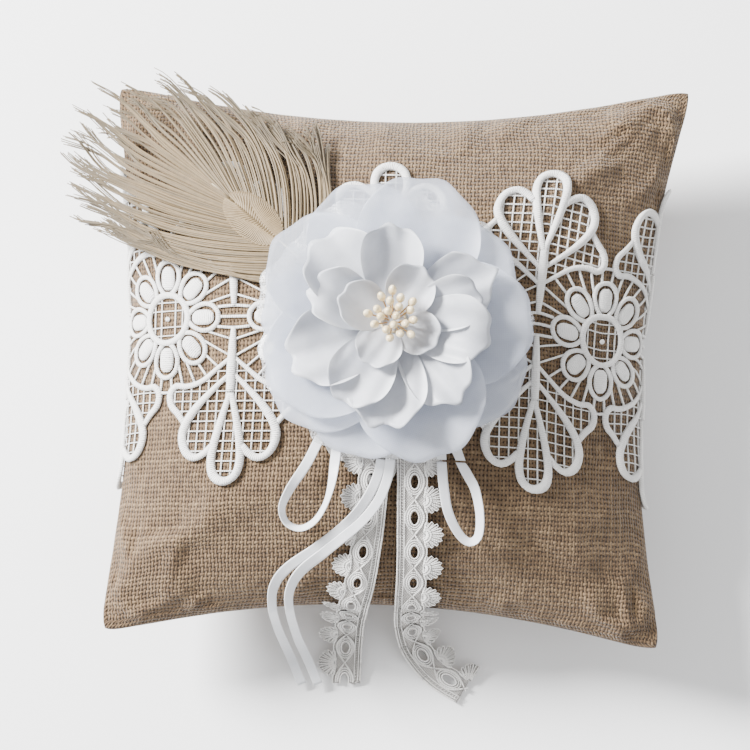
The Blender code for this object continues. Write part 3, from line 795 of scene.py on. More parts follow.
def stuff_cover():
    """Fills the cover by cloth simulation, and keeps the wrinkles it gets where nothing is sewn on."""
    lines = grid_values(SIM_CELLS)
    points, quads, (front, back), _ = closed_cushion(SIM_CELLS)
    bare = bpy.data.materials.new("simulation_only")
    cloth_object = make_object(
        "cover_simulation", points, quads, np.zeros((len(quads), 4, 2)), np.zeros(len(points)), bare
    )
    rim = np.ones((SIM_CELLS + 1, SIM_CELLS + 1), bool)
    rim[1:-1, 1:-1] = False
    seam = cloth_object.vertex_groups.new(name="seam")
    seam.add(np.flatnonzero(rim.ravel()).tolist(), 1.0, "REPLACE")
    cloth = cloth_object.modifiers.new("cloth", "CLOTH").settings
    for name, value in dict(
        vertex_group_mass="seam", quality=6, mass=0.4, tension_stiffness=20, compression_stiffness=20,
        shear_stiffness=8, bending_stiffness=0.4, shrink_min=-0.06, use_pressure=True,
        uniform_pressure_force=4.0,
    ).items():
        setattr(cloth, name, value)
    cloth.effector_weights.gravity = 0.0
    for frame_number in range(1, SIM_FRAMES + 1):
        bpy.context.scene.frame_set(frame_number)
    stuffed = cloth_object.evaluated_get(bpy.context.evaluated_depsgraph_get()).data
    places = np.empty(3 * len(points), np.float32)
    stuffed.vertices.foreach_get("co", places)
    moved = places.reshape(-1, 3) - points
    u, v = np.meshgrid(lines, lines)
    for side, surface in ((1, front), (-1, back)):
        table = np.zeros((SIM_CELLS + 1, SIM_CELLS + 1))
        if side > 0:
            table = moved[:table.size, 2].reshape(table.shape).copy()
            from_flower = np.hypot(surface[..., 0] - FLOWER_CENTRE[0], surface[..., 1] - FLOWER_CENTRE[1])
            free = np.clip((from_flower - FLOWER_RADIUS) / FLOWER_FADE, 0, 1)
        else:
            table[1:-1, 1:-1] = -moved[table.size:, 2].reshape(SIM_CELLS - 1, SIM_CELLS - 1)
            free = np.clip((surface[..., 2] - REST_HEIGHT - REST_MARGIN) / REST_FADE, 0, 1)
        fine = np.clip(table - smoothed(table, 10), -DEEPEST_WRINKLE, HIGHEST_WRINKLE)
        free = free * np.clip((1 - np.maximum(np.abs(u), np.abs(v))) / SEAM_FADE, 0, 1)
        WRINKLES[side][:] = side * fine * free
    bpy.data.objects.remove(cloth_object)
    bpy.data.materials.remove(bare)
    bpy.context.scene.frame_set(1)


def cloth_uvs(surface):
    """Millimetres along and up the cloth, by arc length from the middle lines of a grid surface."""
    n = surface.shape[0]
    steps_x = np.linalg.norm(np.diff(surface, axis=1), axis=2)
    steps_y = np.linalg.norm(np.diff(surface, axis=0), axis=2)
    x = np.concatenate([np.zeros((n, 1)), np.cumsum(steps_x, axis=1)], axis=1)
    y = np.concatenate([np.zeros((1, n)), np.cumsum(steps_y, axis=0)], axis=0)
    middle = n // 2
    x = x - x[:, middle:middle + 1]
    y = y - y[middle:middle + 1]
    return np.stack([x, y], axis=-1).reshape(-1, 2) / MM


def burlap_cover():
    points, quads, (front, back), grid = closed_cushion(COVER_CELLS)
    height = points[:, 2] - SEAM_HEIGHT
    towards = points[:, :2] / np.linalg.norm(points[:, :2], axis=1)[:, None]
    around = np.arctan2(points[:, 1], points[:, 0])
    stitch = 0.5 + 0.5 * np.sin(around * 61) * np.sin(around * 23 + 1.0)
    groove = (0.0007 + 0.0005 * stitch) * np.exp(-((height / 0.0010) ** 2))
    points[:, :2] -= towards * groove[:, None]
    front_uv, back_uv = cloth_uvs(front), cloth_uvs(back)
    uvs = np.concatenate([front_uv[grid], back_uv[grid][:, ::-1] + 300.0])
    cover = make_object("burlap_cover", points, quads, uvs, np.zeros(len(points)), jute_burlap())
    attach(cover, "pillow")
    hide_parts("burlap_front_panel", "burlap_back_panel")


# ---------------------------------------------------------------- guipure lace

FAN_STEM = ((0, 3.5), (0, 9), (0, 16), (0, 22), (0, 25.8))
CENTRAL_LOBE = (
    (0, 25.5), (-2.2, 33), (-4.4, 42), (-5.2, 49), (-3.8, 54), (0, 56),
    (3.8, 54), (5.2, 49), (4.4, 42), (2.2, 33), (0, 25.5),
)
MEDIUM_LOBE = (
    (0, 19), (6, 24.5), (12, 30.5), (16, 36), (17.3, 41), (15.3, 46), (11.5, 48), (8, 46.5), (5.4, 44),
)
SMALL_LOBE = (
    (0, 13.5), (5, 17.5), (11, 22), (17, 23.8), (21.2, 23.5), (23.6, 26), (23, 30), (20, 33), (17, 36.5),
)
DAISY_RING = 8.6
DAISY_REACH = 20.3
NET_PITCH = 3.4
NET_THREAD = 0.26


def spline_2d(points, spacing=1.5):
    """A smooth flat line through points in millimetres, evenly spaced, as 3-D metres at height 0."""
    route = smooth_route([(s, t, 0.0) for s, t in points], 8 * len(points))
    return even_points(route, spacing) * MM


def crossings(outline, axis, value):
    """Where an outline crosses a grid line, sorted along it."""
    other = 1 - axis
    found = []
    for a, b in zip(outline, np.roll(outline, -1, axis=0)):
        if (a[axis] - value) * (b[axis] - value) < 0:
            share = (value - a[axis]) / (b[axis] - a[axis])
            found.append(a[other] + (b[other] - a[other]) * share)
    return sorted(found)


def net(parts, outline, pitch, radius, centre=(0.0, 0.0)):
    """A square net of thin threads inside an outline, all in metres."""
    for axis in (0, 1):
        low, high = outline[:, axis].min(), outline[:, axis].max()
        first = math.ceil((low - centre[axis]) / pitch - 0.5)
        last = math.floor((high - centre[axis]) / pitch - 0.5)
        for k in range(first, last + 1):
            value = centre[axis] + (k + 0.5) * pitch
            hits = crossings(outline, axis, value)
            for start, end in zip(hits[::2], hits[1::2]):
                if end - start < 0.4 * pitch:
                    continue
                count = max(2, int(round((end - start) / (0.9 * pitch))) + 1)
                line = np.zeros((count, 3))
                line[:, axis] = value
                line[:, 1 - axis] = np.linspace(start, end, count)
                line[:, 2] = radius * 0.9 + (axis * 0.5) * radius
                add_tube(parts, line, radius, tone=-0.12, sides=4)


def raised(line, radius):
    """A cord that rests on the cloth: its middle is one flattened radius up."""
    line = line.copy()
    line[:, 2] += radius * CORD_FLATNESS
    return line


def lace_fan(parts, up):
    """One five-lobed fan, its stem on the band's middle line."""
    def cord(points, radii):
        line = spline_2d(points)
        line[:, 1] *= up
        radius = np.interp(np.linspace(0, 1, len(line)), np.linspace(0, 1, len(radii)), radii) * MM
        add_tube(parts, raised(line, radius), radius, sides=6, flatness=CORD_FLATNESS)
        return line

    cord(FAN_STEM, (0.8, 1.25, 1.5, 1.6, 1.3))
    central = cord(CENTRAL_LOBE, (0.9, 1.15, 1.35, 1.45, 1.5, 1.45, 1.35, 1.15, 0.9))
    net(parts, central[:, :2], NET_PITCH * MM, NET_THREAD * MM)
    for sign in (-1, 1):
        medium_points = [(sign * s, t) for s, t in MEDIUM_LOBE]
        small_points = [(sign * s, t) for s, t in SMALL_LOBE]
        medium = cord(medium_points, (0.7, 0.9, 1.2, 1.5, 1.5, 1.45, 1.3, 1.2))
        small = cord(small_points, (0.7, 0.75, 0.9, 1.0, 1.15, 1.2, 1.15, 1.0))
        inner = [(sign * 4.4, 42), (sign * 2.2, 33), (0, 25.5), (0, 19)]
        inner = np.array([(s, up * t) for s, t in inner]) * MM
        net(parts, np.vstack([medium[:, :2], inner]), NET_PITCH * MM, NET_THREAD * MM)
        between = [(sign * 16, 36), (sign * 12, 30.5), (sign * 6, 24.5), (0, 19)]
        between = np.array([(s, up * t) for s, t in between]) * MM
        net(parts, np.vstack([small[:, :2], between]), NET_PITCH * MM, NET_THREAD * MM)


def fan_lines(repeat):
    """The small lobes and stems that the daisy's bars reach, both fans, on both sides of the daisy."""
    lines = []
    for origin, sign in ((0.0, 1), (repeat / MM, -1)):
        for up in (-1, 1):
            lines.append(spline_2d([(origin + sign * s, up * t) for s, t in SMALL_LOBE], 0.5))
            lines.append(spline_2d([(origin, up * t) for _, t in FAN_STEM], 0.5))
    return np.vstack(lines)[:, :2]


def lace_daisy(parts, middle, lines):
    """A ringed flower with eight satin-stitched petals, tied to the fans by thin bars."""
    turns = np.linspace(0, 2 * np.pi, 37)[:-1]
    ring = np.stack([middle + DAISY_RING * MM * np.cos(turns), DAISY_RING * MM * np.sin(turns), 0 * turns], 1)
    add_tube(parts, raised(ring, 1.15 * MM), 1.15 * MM, sides=6, flatness=CORD_FLATNESS, closed=True)
    net(parts, ring[:, :2], 3.0 * MM, NET_THREAD * MM, centre=(middle + 1.5 * MM, 1.5 * MM))
    knot = np.array([(middle + off * MM, 0, 0) for off in (-0.9, -0.5, 0, 0.5, 0.9)])
    add_tube(parts, raised(knot, 1.0 * MM), np.array((0.3, 0.8, 1.0, 0.8, 0.3)) * MM, sides=6, flatness=0.6)
    for k in range(8):
        angle = k * math.pi / 4
        out = np.array((math.cos(angle), math.sin(angle), 0))
        side = np.array((-out[1], out[0], 0))
        loop = [(8.9, -1.4), (11, -3.4), (14.5, -4.7), (18, -4.1), (DAISY_REACH, -1.6),
                (DAISY_REACH, 1.6), (18, 4.1), (14.5, 4.7), (11, 3.4), (8.9, 1.4)]
        flat = spline_2d(loop)
        line = np.array((middle, 0, 0)) + flat[:, :1] * out + flat[:, 1:2] * side
        add_tube(parts, raised(line, 0.85 * MM), 0.85 * MM, sides=6, flatness=CORD_FLATNESS)
        pad_out = np.linspace(10.4, 18.6, 9)[:, None] * MM
        pad = np.array((middle, 0, 0)) + pad_out * out
        swell = np.array((1.2, 2.3, 2.7, 2.8, 2.8, 2.8, 2.7, 2.3, 1.2)) * MM
        pad[:, 2] += 0.45 * MM
        add_tube(parts, pad, swell, tone=0.05, sides=10, flatness=0.28)
    for k in range(32):
        angle = (k + 0.5) * math.pi / 16
        out = np.array((math.cos(angle), math.sin(angle)))
        start = DAISY_REACH if k % 4 in (0, 3) else 16.5
        reach = np.arange(start + 0.8, 32, 0.25)
        spots = np.array((middle, 0)) + reach[:, None] * out * MM
        gaps = np.linalg.norm(spots[:, None] - lines[None], axis=2).min(axis=1)
        if gaps.min() > 0.5 * MM:
            continue
        end = reach[np.argmax(gaps < 0.5 * MM)]
        bar = np.zeros((4, 3))
        bar[:, :2] = np.array((middle, 0)) + np.linspace(start, end, 4)[:, None] * out * MM
        add_tube(parts, raised(bar, 0.45 * MM), 0.45 * MM, tone=-0.03, sides=4, flatness=0.8)


def lace_repeat(repeat):
    """One flat repeat of the band: two fans on a stem, a daisy beside them and the bars between."""
    parts = Parts()
    for up in (1, -1):
        lace_fan(parts, up)
    lace_daisy(parts, repeat / 2, fan_lines(repeat))
    half = repeat / 2 / MM
    for t in (25.5, -25.5):
        bridge = spline_2d([(23.4, t), (half, t * 1.01), (2 * half - 23.4, t)])
        add_tube(parts, raised(bridge, 0.6 * MM), 0.6 * MM, sides=4, flatness=0.8)
    for bend in (0.0, 3.8, -3.8):
        tip = half - DAISY_REACH
        middle = spline_2d([(-tip, bend * 0.9), (0, bend), (tip, bend * 0.9)])
        add_tube(parts, raised(middle, 0.6 * MM), 0.6 * MM, sides=4, flatness=0.8)
    return parts.arrays()


class LaceBand:
    """Lays the flat band round the cushion: along by arc length of its middle line, up by arc length too."""

    # The band was sewn on a little askew: it dips towards the right side
    TURN_CELLS = 160
    HEIGHT_CELLS = 62
    DIP_TURNS = (0.0, 1.0, 1.55, 1.80, 2.0, 2.6, 4.0)
    DIPS = (-0.0010, 0.0, -0.0015, -0.0062, -0.0055, -0.0020, -0.0010)

    def __init__(self):
        lines = grid_values(self.TURN_CELLS)
        middle = np.full(len(lines), LACE_MIDDLE)
        front = cushion(lines, middle, 1, LACE_LIFT)
        back = cushion(lines[::-1], middle, -1, LACE_LIFT)
        loop = np.vstack([front, back[1:]])
        self.turn = np.concatenate([1 + lines, 3 - lines[::-1][1:]])
        self.arc = arc_lengths(loop)
        self.girth = self.arc[-1]
        start = np.interp(LACE_CENTRE_X, front[:, 0], lines)
        self.origin = np.interp(1 + start, self.turn, self.arc)
        self.heights = np.linspace(-62, 62, self.HEIGHT_CELLS + 1) * MM
        rows = np.linspace(-0.93, 0.93, 241)
        table = []
        for column in np.linspace(0, 4, self.TURN_CELLS + 1):
            u, side = (column - 1, 1) if column <= 2 else (3 - column, -1)
            along = arc_lengths(cushion(np.full(len(rows), u), rows, side, LACE_LIFT))
            along -= np.interp(LACE_MIDDLE, rows, along)
            table.append(np.interp(self.heights, along, rows))
        self.rows = np.array(table)

    def place(self, points):
        """Flat (along, up, off) points as places on the cushion."""
        turn = np.interp((points[:, 0] + self.origin) % self.girth, self.arc, self.turn)
        i = np.clip(turn / 4 * self.TURN_CELLS, 0, self.TURN_CELLS - 0.001)
        up = points[:, 1] + np.interp(turn, self.DIP_TURNS, self.DIPS)
        j = (up - self.heights[0]) / (self.heights[1] - self.heights[0])
        j = np.clip(j, 0, self.HEIGHT_CELLS - 0.001)
        i0, j0 = i.astype(int), j.astype(int)
        fi, fj = i - i0, j - j0
        low = self.rows[i0, j0] * (1 - fi) + self.rows[i0 + 1, j0] * fi
        high = self.rows[i0, j0 + 1] * (1 - fi) + self.rows[i0 + 1, j0 + 1] * fi
        v = low * (1 - fj) + high * fj
        on_front = turn <= 2
        u = np.where(on_front, turn - 1, 3 - turn)
        lift = LACE_LIFT + points[:, 2]
        placed = np.where(on_front[:, None], cushion(u, v, 1, lift), cushion(u, v, -1, lift))
        placed[:, 2] = np.maximum(placed[:, 2], LACE_LOWEST)
        return placed


def guipure_lace():
    band = LaceBand()
    repeat = band.girth / LACE_REPEATS
    flat, quads, uvs, tones = lace_repeat(repeat)
    rng = np.random.default_rng(7)
    parts = Parts()
    for n in range(LACE_REPEATS):
        moved = flat + np.array((n * repeat, 0, 0))
        parts.add(band.place(moved), quads, uvs, tones + rng.uniform(-0.03, 0.03))
    lace = make_object("guipure_lace", *parts.arrays(), cord_thread(
        # Polyester guipure: cords wrapped in satin stitches 0.3 mm wide, drawn at 0.7 mm so that they show
        "polyester_guipure", ("#DCDAD6", "#F7F6F4"), 0.7, 0.00018, 0.7,
    ))
    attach(lace, "pillow")
    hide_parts("lace_band")


# ---------------------------------------------------------------- flower

def petal(parts, angle, reach, width, foot, rise, phase, ruffle, cup=1.5, curl=0.0, pointed=0.0, lip=0.4,
          painted_light=0.3):
    """One petal, in millimetres and degrees: a sheet that starts near the middle and ends in a round or
    pointed rim. Its edges are raised by cup, its tip is turned down by curl, and its rim is turned up by
    lip. The last argument sets the painted light in its tone: a painted highlight along the rim, painted
    shade in the middle and soft painted shading across it."""
    rows, columns = PETAL_ROWS, PETAL_COLUMNS
    l = np.linspace(0, 1, rows)[:, None]
    w = np.sin(np.pi / 2 * np.linspace(-1, 1, columns))[None, :]
    shape = PETAL_NECK + (1 - PETAL_NECK) * np.sin(np.pi / 2 * l) ** 1.15
    share = 0.5 * width / reach
    rim = (1 - pointed) * np.sqrt(np.maximum(0, 1 - w * w)) + pointed * (1 - np.abs(w)) ** 0.9
    rim = rim * (1 + 0.035 * ruffle * np.sin(2.6 * np.pi * w + 1.3 * phase))
    along = reach * (l * (1 - share) + l**2.2 * share * rim)
    across = 0.5 * width * w * shape + 0 * along
    out = along / reach
    edge = np.maximum(np.abs(w) * shape, l**3 * (1 - rim * 0.6))
    height = foot + rise * out**1.4 + cup * (w * shape) ** 2 * out + PETAL_TWIST * w * out
    height = height - curl * np.maximum(0, (out - 0.72) / 0.28) ** 2
    height = height + ruffle * np.sin(2 * np.pi * w + phase + 2.1 * out) * edge**2 * out
    height = height + 0.35 * ruffle * np.sin(5.3 * out + 3.1 * w + phase * 1.7) * out
    height = height + 0.22 * ruffle * np.sin(9.0 * w + phase * 2.3 + 1.5 * out) * out
    near_rim = np.clip((edge - 0.72) / 0.28, 0, 1) ** 2
    height = height + lip * near_rim * (1 + 0.5 * np.sin(3.4 * w + phase))
    # Painted light and shade: a painted highlight along the curled rim, painted shade in the middle and soft
    # painted shading across the petal
    tone = (painted_light * near_rim - 0.15 * painted_light + 0.25 * painted_light * np.sin(2.2 * w + 3.0 * out + phase)).ravel()
    turn = math.radians(angle)
    x = FLOWER_CENTRE[0] + (along * math.cos(turn) - across * math.sin(turn)) * MM
    y = FLOWER_CENTRE[1] + (along * math.sin(turn) + across * math.cos(turn)) * MM
    z = PETAL_PLANE + height * MM
    top = np.stack([x, y, z], -1).reshape(-1, 3)
    bottom = top - np.array((0, 0, PETAL_WALL))
    quads = grid_quads(columns, rows)
    uv = np.stack([across, along], -1).reshape(-1, 2)
    rim_loop = np.concatenate([
        np.arange(columns), np.arange(1, rows) * columns + columns - 1,
        (rows - 1) * columns + np.arange(columns - 2, -1, -1), np.arange(rows - 2, 0, -1) * columns,
    ])
    following = np.roll(rim_loop, -1)
    count = len(top)
    wall_quads = np.stack([rim_loop, rim_loop + count, following + count, following], axis=1)
    faces = np.vstack([quads, quads[:, ::-1] + count, wall_quads])
    corner_uvs = np.concatenate([uv[quads], uv[quads[:, ::-1]], uv[np.tile(rim_loop[:, None], (1, 4))]])
    parts.add(np.vstack([top, bottom]), faces, corner_uvs, np.concatenate([tone, tone]))


def petal_layer(name, node, cloth, petals):
    """A layer of petals that were cut together from one sheet of cloth."""
    parts = Parts()
    for shape in petals:
        petal(parts, **shape)
    layer = make_object(name, *parts.arrays(), cloth)
    outward(layer)
    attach(layer, "pillow")
    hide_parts(node)


def fabric_flower():
    # Polyester organza: sheer, springy, milky where it doubles up
    organza = sheer_cloth("polyester_organza", ("#BCC2D0", "#F4F7FF"), 0.50, 0.36, 0.42, 0.6, sheen=0.3)
    # Habotai-like polyester silk: soft, opaque enough to look bright, warm where light comes through
    silk = sheer_cloth("habotai_silk", ("#BFC2CA", "#FCFDFF"), 1.0, 0.34, 0.40, 0.5, sheen=0.2)
    lower = [
        dict(angle=110, reach=49, width=40, foot=-0.6, rise=0.4, ruffle=1.0, phase=0.3),
        dict(angle=36, reach=46, width=44, foot=-0.8, rise=0.6, ruffle=0.8, phase=1.4),
        dict(angle=-30, reach=49, width=42, foot=-0.6, rise=-0.8, ruffle=0.8, phase=2.2),
        dict(angle=-107, reach=47, width=44, foot=-0.7, rise=-0.9, ruffle=0.8, phase=3.0),
        dict(angle=176, reach=44, width=34, foot=-0.9, rise=0.0, ruffle=0.9, phase=4.1),
        dict(angle=-140, reach=48, width=40, foot=-1.0, rise=-0.8, ruffle=0.8, phase=5.0),
    ]
    petal_layer("organza_petal_set_lower", "organza_petals_lower", organza, lower)
    upper = [
        dict(angle=146, reach=48, width=40, foot=0.7, rise=3.4, cup=3.0, curl=1.8, ruffle=1.0, phase=0.7),
        dict(angle=75, reach=50, width=42, foot=0.8, rise=4.2, cup=3.4, curl=1.6, ruffle=1.2, phase=1.9),
        dict(angle=0, reach=47, width=42, foot=0.6, rise=2.6, cup=2.2, curl=1.6, ruffle=0.9, phase=2.7),
        dict(angle=-68, reach=48.5, width=44, foot=0.7, rise=2.6, cup=2.6, curl=1.6, ruffle=1.1, phase=3.9),
        dict(angle=-149, reach=46, width=42, foot=0.7, rise=3.0, cup=3.0, curl=1.8, ruffle=1.1, phase=5.3),
    ]
    petal_layer("organza_petal_set_upper", "organza_petals_upper", organza, upper)
    curled = dict(lip=1.5, painted_light=0.55)
    outer = [
        dict(angle=136, reach=37, width=27, foot=1.6, rise=6.4, cup=5.4, curl=2.4, ruffle=2.6, phase=0.2),
        dict(angle=27, reach=38, width=23, foot=1.7, rise=7.4, cup=3.6, pointed=0.7, ruffle=2.0, phase=1.1),
        dict(angle=-49, reach=36, width=22, foot=1.6, rise=7.2, cup=6.4, pointed=0.35, ruffle=2.4, phase=2.0),
        dict(angle=-93, reach=37, width=27, foot=1.7, rise=6.4, cup=6.4, curl=-2.6, ruffle=2.9, phase=3.2),
        dict(angle=-154, reach=37, width=27, foot=1.6, rise=5.8, cup=5.0, curl=2.0, ruffle=2.9, phase=4.4),
    ]
    outer = [shape | curled for shape in outer]
    petal_layer("silk_petal_set_outer", "silk_petals_outer", silk, outer)
    middle = [
        dict(angle=93, reach=31, width=21, foot=2.6, rise=8.6, cup=4.6, ruffle=2.0, phase=0.5),
        dict(angle=15, reach=30, width=18, foot=2.5, rise=9.6, cup=4.8, curl=2.6, ruffle=1.8, phase=1.6),
        dict(angle=-9, reach=33, width=23, foot=2.9, rise=11.2, cup=4.6, curl=4.6, ruffle=1.7, phase=2.6),
        dict(angle=-117, reach=33, width=22, foot=2.6, rise=8.4, cup=5.2, curl=1.0, ruffle=1.8, phase=3.7),
        dict(angle=163, reach=29, width=20, foot=2.6, rise=9.4, cup=7.2, curl=4.0, ruffle=3.2, phase=5.1),
    ]
    middle = [shape | curled for shape in middle]
    petal_layer("silk_petal_set_middle", "silk_petals_middle", silk, middle)
    inner = [
        dict(angle=60, reach=19, width=17, foot=3.6, rise=8.0, cup=3.8, ruffle=1.6, phase=0.9),
        dict(angle=-28, reach=17, width=15, foot=3.5, rise=6.4, cup=3.4, ruffle=1.4, phase=2.3),
        dict(angle=-115, reach=18, width=16, foot=3.6, rise=6.6, cup=3.6, ruffle=1.7, phase=3.4),
        dict(angle=160, reach=19, width=17, foot=3.5, rise=7.8, cup=4.2, ruffle=1.6, phase=4.9),
    ]
    inner = [shape | dict(lip=0.8, painted_light=0.45) for shape in inner]
    petal_layer("silk_petal_set_inner", "silk_petals_inner", silk, inner)


def tulle_ruffle():
    """A gathered disc of glitter tulle that shows between the petals, with a wavy cut edge."""
    rows, columns = 24, 220
    share = np.linspace(0.06, 1, rows)[:, None]
    turn = np.linspace(0, 2 * np.pi, columns, endpoint=False)[None, :]
    reach = TULLE_REACH * share * (1 + 0.035 * np.sin(9 * turn + 1) + 0.02 * np.sin(23 * turn))
    x = FLOWER_CENTRE[0] + reach * np.cos(turn)
    y = FLOWER_CENTRE[1] + reach * np.sin(turn)
    gather = np.sin(17 * turn + 0.6 * np.sin(5 * turn)) * share**2 * TULLE_GATHER
    z = lying_height(x, y, TULLE_LIFT) + TULLE_GATHER * share + gather
    top = np.stack([x, y, z], -1).reshape(-1, 3)
    quads = grid_quads(columns, rows, wrap=True)
    uvs = np.stack([x, y], -1).reshape(-1, 2)[quads] / MM
    made = make_object("glitter_tulle_ruffle", top, quads, uvs, np.zeros(len(top)), glitter_tulle())
    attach(made, "pillow")
    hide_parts("tulle_ruffle")


def stamen_model(pearl, thread):
    """One stamen at the origin, standing on its foot: a lacquered head like a grain of rice on a thread."""
    deselect_all()
    bpy.ops.mesh.primitive_uv_sphere_add(segments=14, ring_count=10, radius=1.0)
    head = bpy.context.object
    head.data.materials.append(pearl)
    head.data.materials.append(thread)
    bpy.ops.object.mode_set(mode="EDIT")
    bpy.ops.mesh.select_all(action="SELECT")
    bpy.ops.transform.resize(value=(PEARL_RADIUS, PEARL_RADIUS, PEARL_HALF_LENGTH))
    bpy.ops.transform.translate(value=(0, 0, STAMEN_LENGTH - PEARL_HALF_LENGTH))
    depth = STAMEN_LENGTH - 2 * PEARL_HALF_LENGTH + PEARL_OVERLAP
    bpy.ops.mesh.primitive_cylinder_add(
        vertices=8, radius=STAMEN_THREAD, depth=depth, location=(0, 0, depth / 2)
    )
    head.active_material_index = 1
    bpy.ops.object.material_slot_assign()
    bpy.ops.object.mode_set(mode="OBJECT")
    bpy.ops.object.shade_smooth_by_angle(angle=math.radians(50))
    return head


def stamens():
    # The stem is cotton thread stiffened with tan glue
    model = stamen_model(pearl_lacquer(), plain_cloth("stamen_thread", ("#A07B45", "#C9A56C"), 0.0, 0.6, 3.0))
    rng = np.random.default_rng(3)
    for n in range(STAMEN_COUNT):
        spread = STAMEN_SPREAD * math.sqrt((n + 0.5) / STAMEN_COUNT)
        angle = n * GOLDEN_ANGLE
        out = Vector((math.cos(angle), math.sin(angle), 0))
        foot = Vector((*FLOWER_CENTRE, STAMEN_FOOT)) + out * spread * STAMEN_FOOT_SHARE
        tip_height = math.sqrt(STAMEN_LENGTH**2 - (spread * (1 - STAMEN_FOOT_SHARE)) ** 2)
        tip = Vector((*FLOWER_CENTRE, STAMEN_FOOT + tip_height)) + out * spread
        tip += Vector(rng.uniform(-STAMEN_JITTER, STAMEN_JITTER, 3))
        made = model.copy()
        made.data = model.data.copy()
        made.name = f"pearl_stamen_{n + 1:02d}"
        lean = (tip - foot).to_track_quat("Z", "Y").to_matrix().to_4x4()
        lean.translation = foot
        made.data.transform(lean)
        bpy.context.scene.collection.objects.link(made)
        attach(made, "pillow")
        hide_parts(f"stamen_{n + 1:02d}")
    bpy.data.objects.remove(model)


# ---------------------------------------------------------------- feather

RIGHT_TIPS = ((22, 43.5), (37.6, 36), (52, 31), (66, 25), (80, 19), (92, 11), (99, 0))
LEFT_TIPS = ((52, -33), (72, -39), (82, -37), (88, -33), (92, -25), (96, -14), (99, 0))
BARBS = 250
EYE_BARBS = 44
CLUMPS = 34
EYE_CENTRE = 20.5
EYE_LENGTH = 12.5
EYE_WIDTH = 7.4


def feather_place(along, across, lift):
    """Places on the feather: along the shaft from its hinge, across to its right, in metres."""
    x = FEATHER_HINGE[0] + along * math.cos(FEATHER_DIRECTION) + across * math.sin(FEATHER_DIRECTION)
    y = FEATHER_HINGE[1] + along * math.sin(FEATHER_DIRECTION) - across * math.cos(FEATHER_DIRECTION)
    lying = lying_height(x, y, QUILL_LIFT + lift)
    root = lying_height(*np.array(FEATHER_HINGE), QUILL_LIFT)
    arched = root - FEATHER_SLOPE * along - FEATHER_CURL * across**2 + lift
    return np.stack([x, y, np.where(along <= 0, lying, np.maximum(arched, lying))], axis=-1)


def bend_feather(piece):
    """Bakes a piece of the feather's transform into its points."""
    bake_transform(piece)


def bezier(a, b, c, d, steps):
    t = np.linspace(0, 1, steps)[:, None]
    return (1 - t)**3 * a + 3 * t * (1 - t)**2 * b + 3 * t**2 * (1 - t) * c + t**3 * d


def add_barb(parts, root, tip, leave, arrive, width, lift, tone, waver, steps=22):
    """One barb in flat millimetres (along, across) from the shaft to its tip; angles in degrees. Its waver
    is the size, phase and number of the turns that grow towards the tip."""
    root, tip = np.array(root, float), np.array(tip, float)
    reach = np.linalg.norm(tip - root)
    leave, arrive = np.radians(leave), np.radians(arrive)
    first = root + 0.40 * reach * np.array((np.cos(leave), np.sin(leave)))
    last = tip - 0.38 * reach * np.array((np.cos(arrive), np.sin(arrive)))
    flat = bezier(root, first, last, tip, steps)
    share = np.linspace(0, 1, steps)
    size, phase, turns = waver
    flat[:, 1] += size * share**4 * np.sin(phase + turns * 2 * np.pi * share)
    flat[:, 0] += 0.6 * size * share**4 * np.cos(phase * 1.3 + turns * 1.6 * np.pi * share)
    line = feather_place(flat[:, 0] * MM, flat[:, 1] * MM, lift * MM)
    line[:, 2] += size * MM * 0.5 * share**4 * np.sin(phase * 2.1 + turns * np.pi * share)
    radius = width * MM * np.interp(share, (0, 0.15, 0.7, 1), (0.55, 0.5, 0.40, 0.24))
    # Painted shade: the wispy tips are painted greyer, more so the more they curl
    greyer = tone - 0.5 * np.clip((share - 0.6) / 0.4, 0, 1) * min(1.0, size)
    add_tube(parts, line, radius, tone=np.repeat(greyer, 4), sides=4, flatness=0.45)


def feather_side(parts, rng, sign, tips, leaves, arrives, roots, parting):
    """The barbs on one side of the shaft, in clumps that draw together towards their tips."""
    tips = np.array(tips, float)
    along = arc_lengths(tips) / arc_lengths(tips)[-1]
    clumps = [
        (rng.uniform(1.4, 4.0), rng.uniform(0, 6.28), rng.uniform(0.9, 2.2), rng.uniform(0.86, 1.03))
        for _ in range(CLUMPS)
    ]
    spots = np.linspace(0, 1, len(leaves))
    for k in range(BARBS):
        share = (k + rng.uniform(0.1, 0.9)) / BARBS
        number = int(share * CLUMPS)
        size, phase, turns, reach = clumps[number]
        middle = (number + 0.5) / CLUMPS
        aim = middle + (share - middle) * rng.uniform(0.1, 0.5)
        tip = np.array([np.interp(aim, along, tips[:, 0]), np.interp(aim, along, tips[:, 1])])
        tip = tip * (reach + rng.uniform(-0.05, 0.01)) + rng.normal(0, 0.25, 2)
        start = share + (middle - share) * parting * (1 - share)
        root = (roots[0] + (roots[1] - roots[0]) * start**1.15, 0)
        waver = (size + rng.uniform(-0.4, 0.4), phase + rng.uniform(-0.3, 0.3), turns)
        leave, arrive = sign * np.interp(start, spots, leaves), sign * np.interp(aim, spots, arrives)
        add_barb(parts, root, tip, leave, arrive, rng.uniform(0.60, 0.95), rng.uniform(-0.15, 0.75),
                 rng.uniform(-0.18, 0.22), waver)


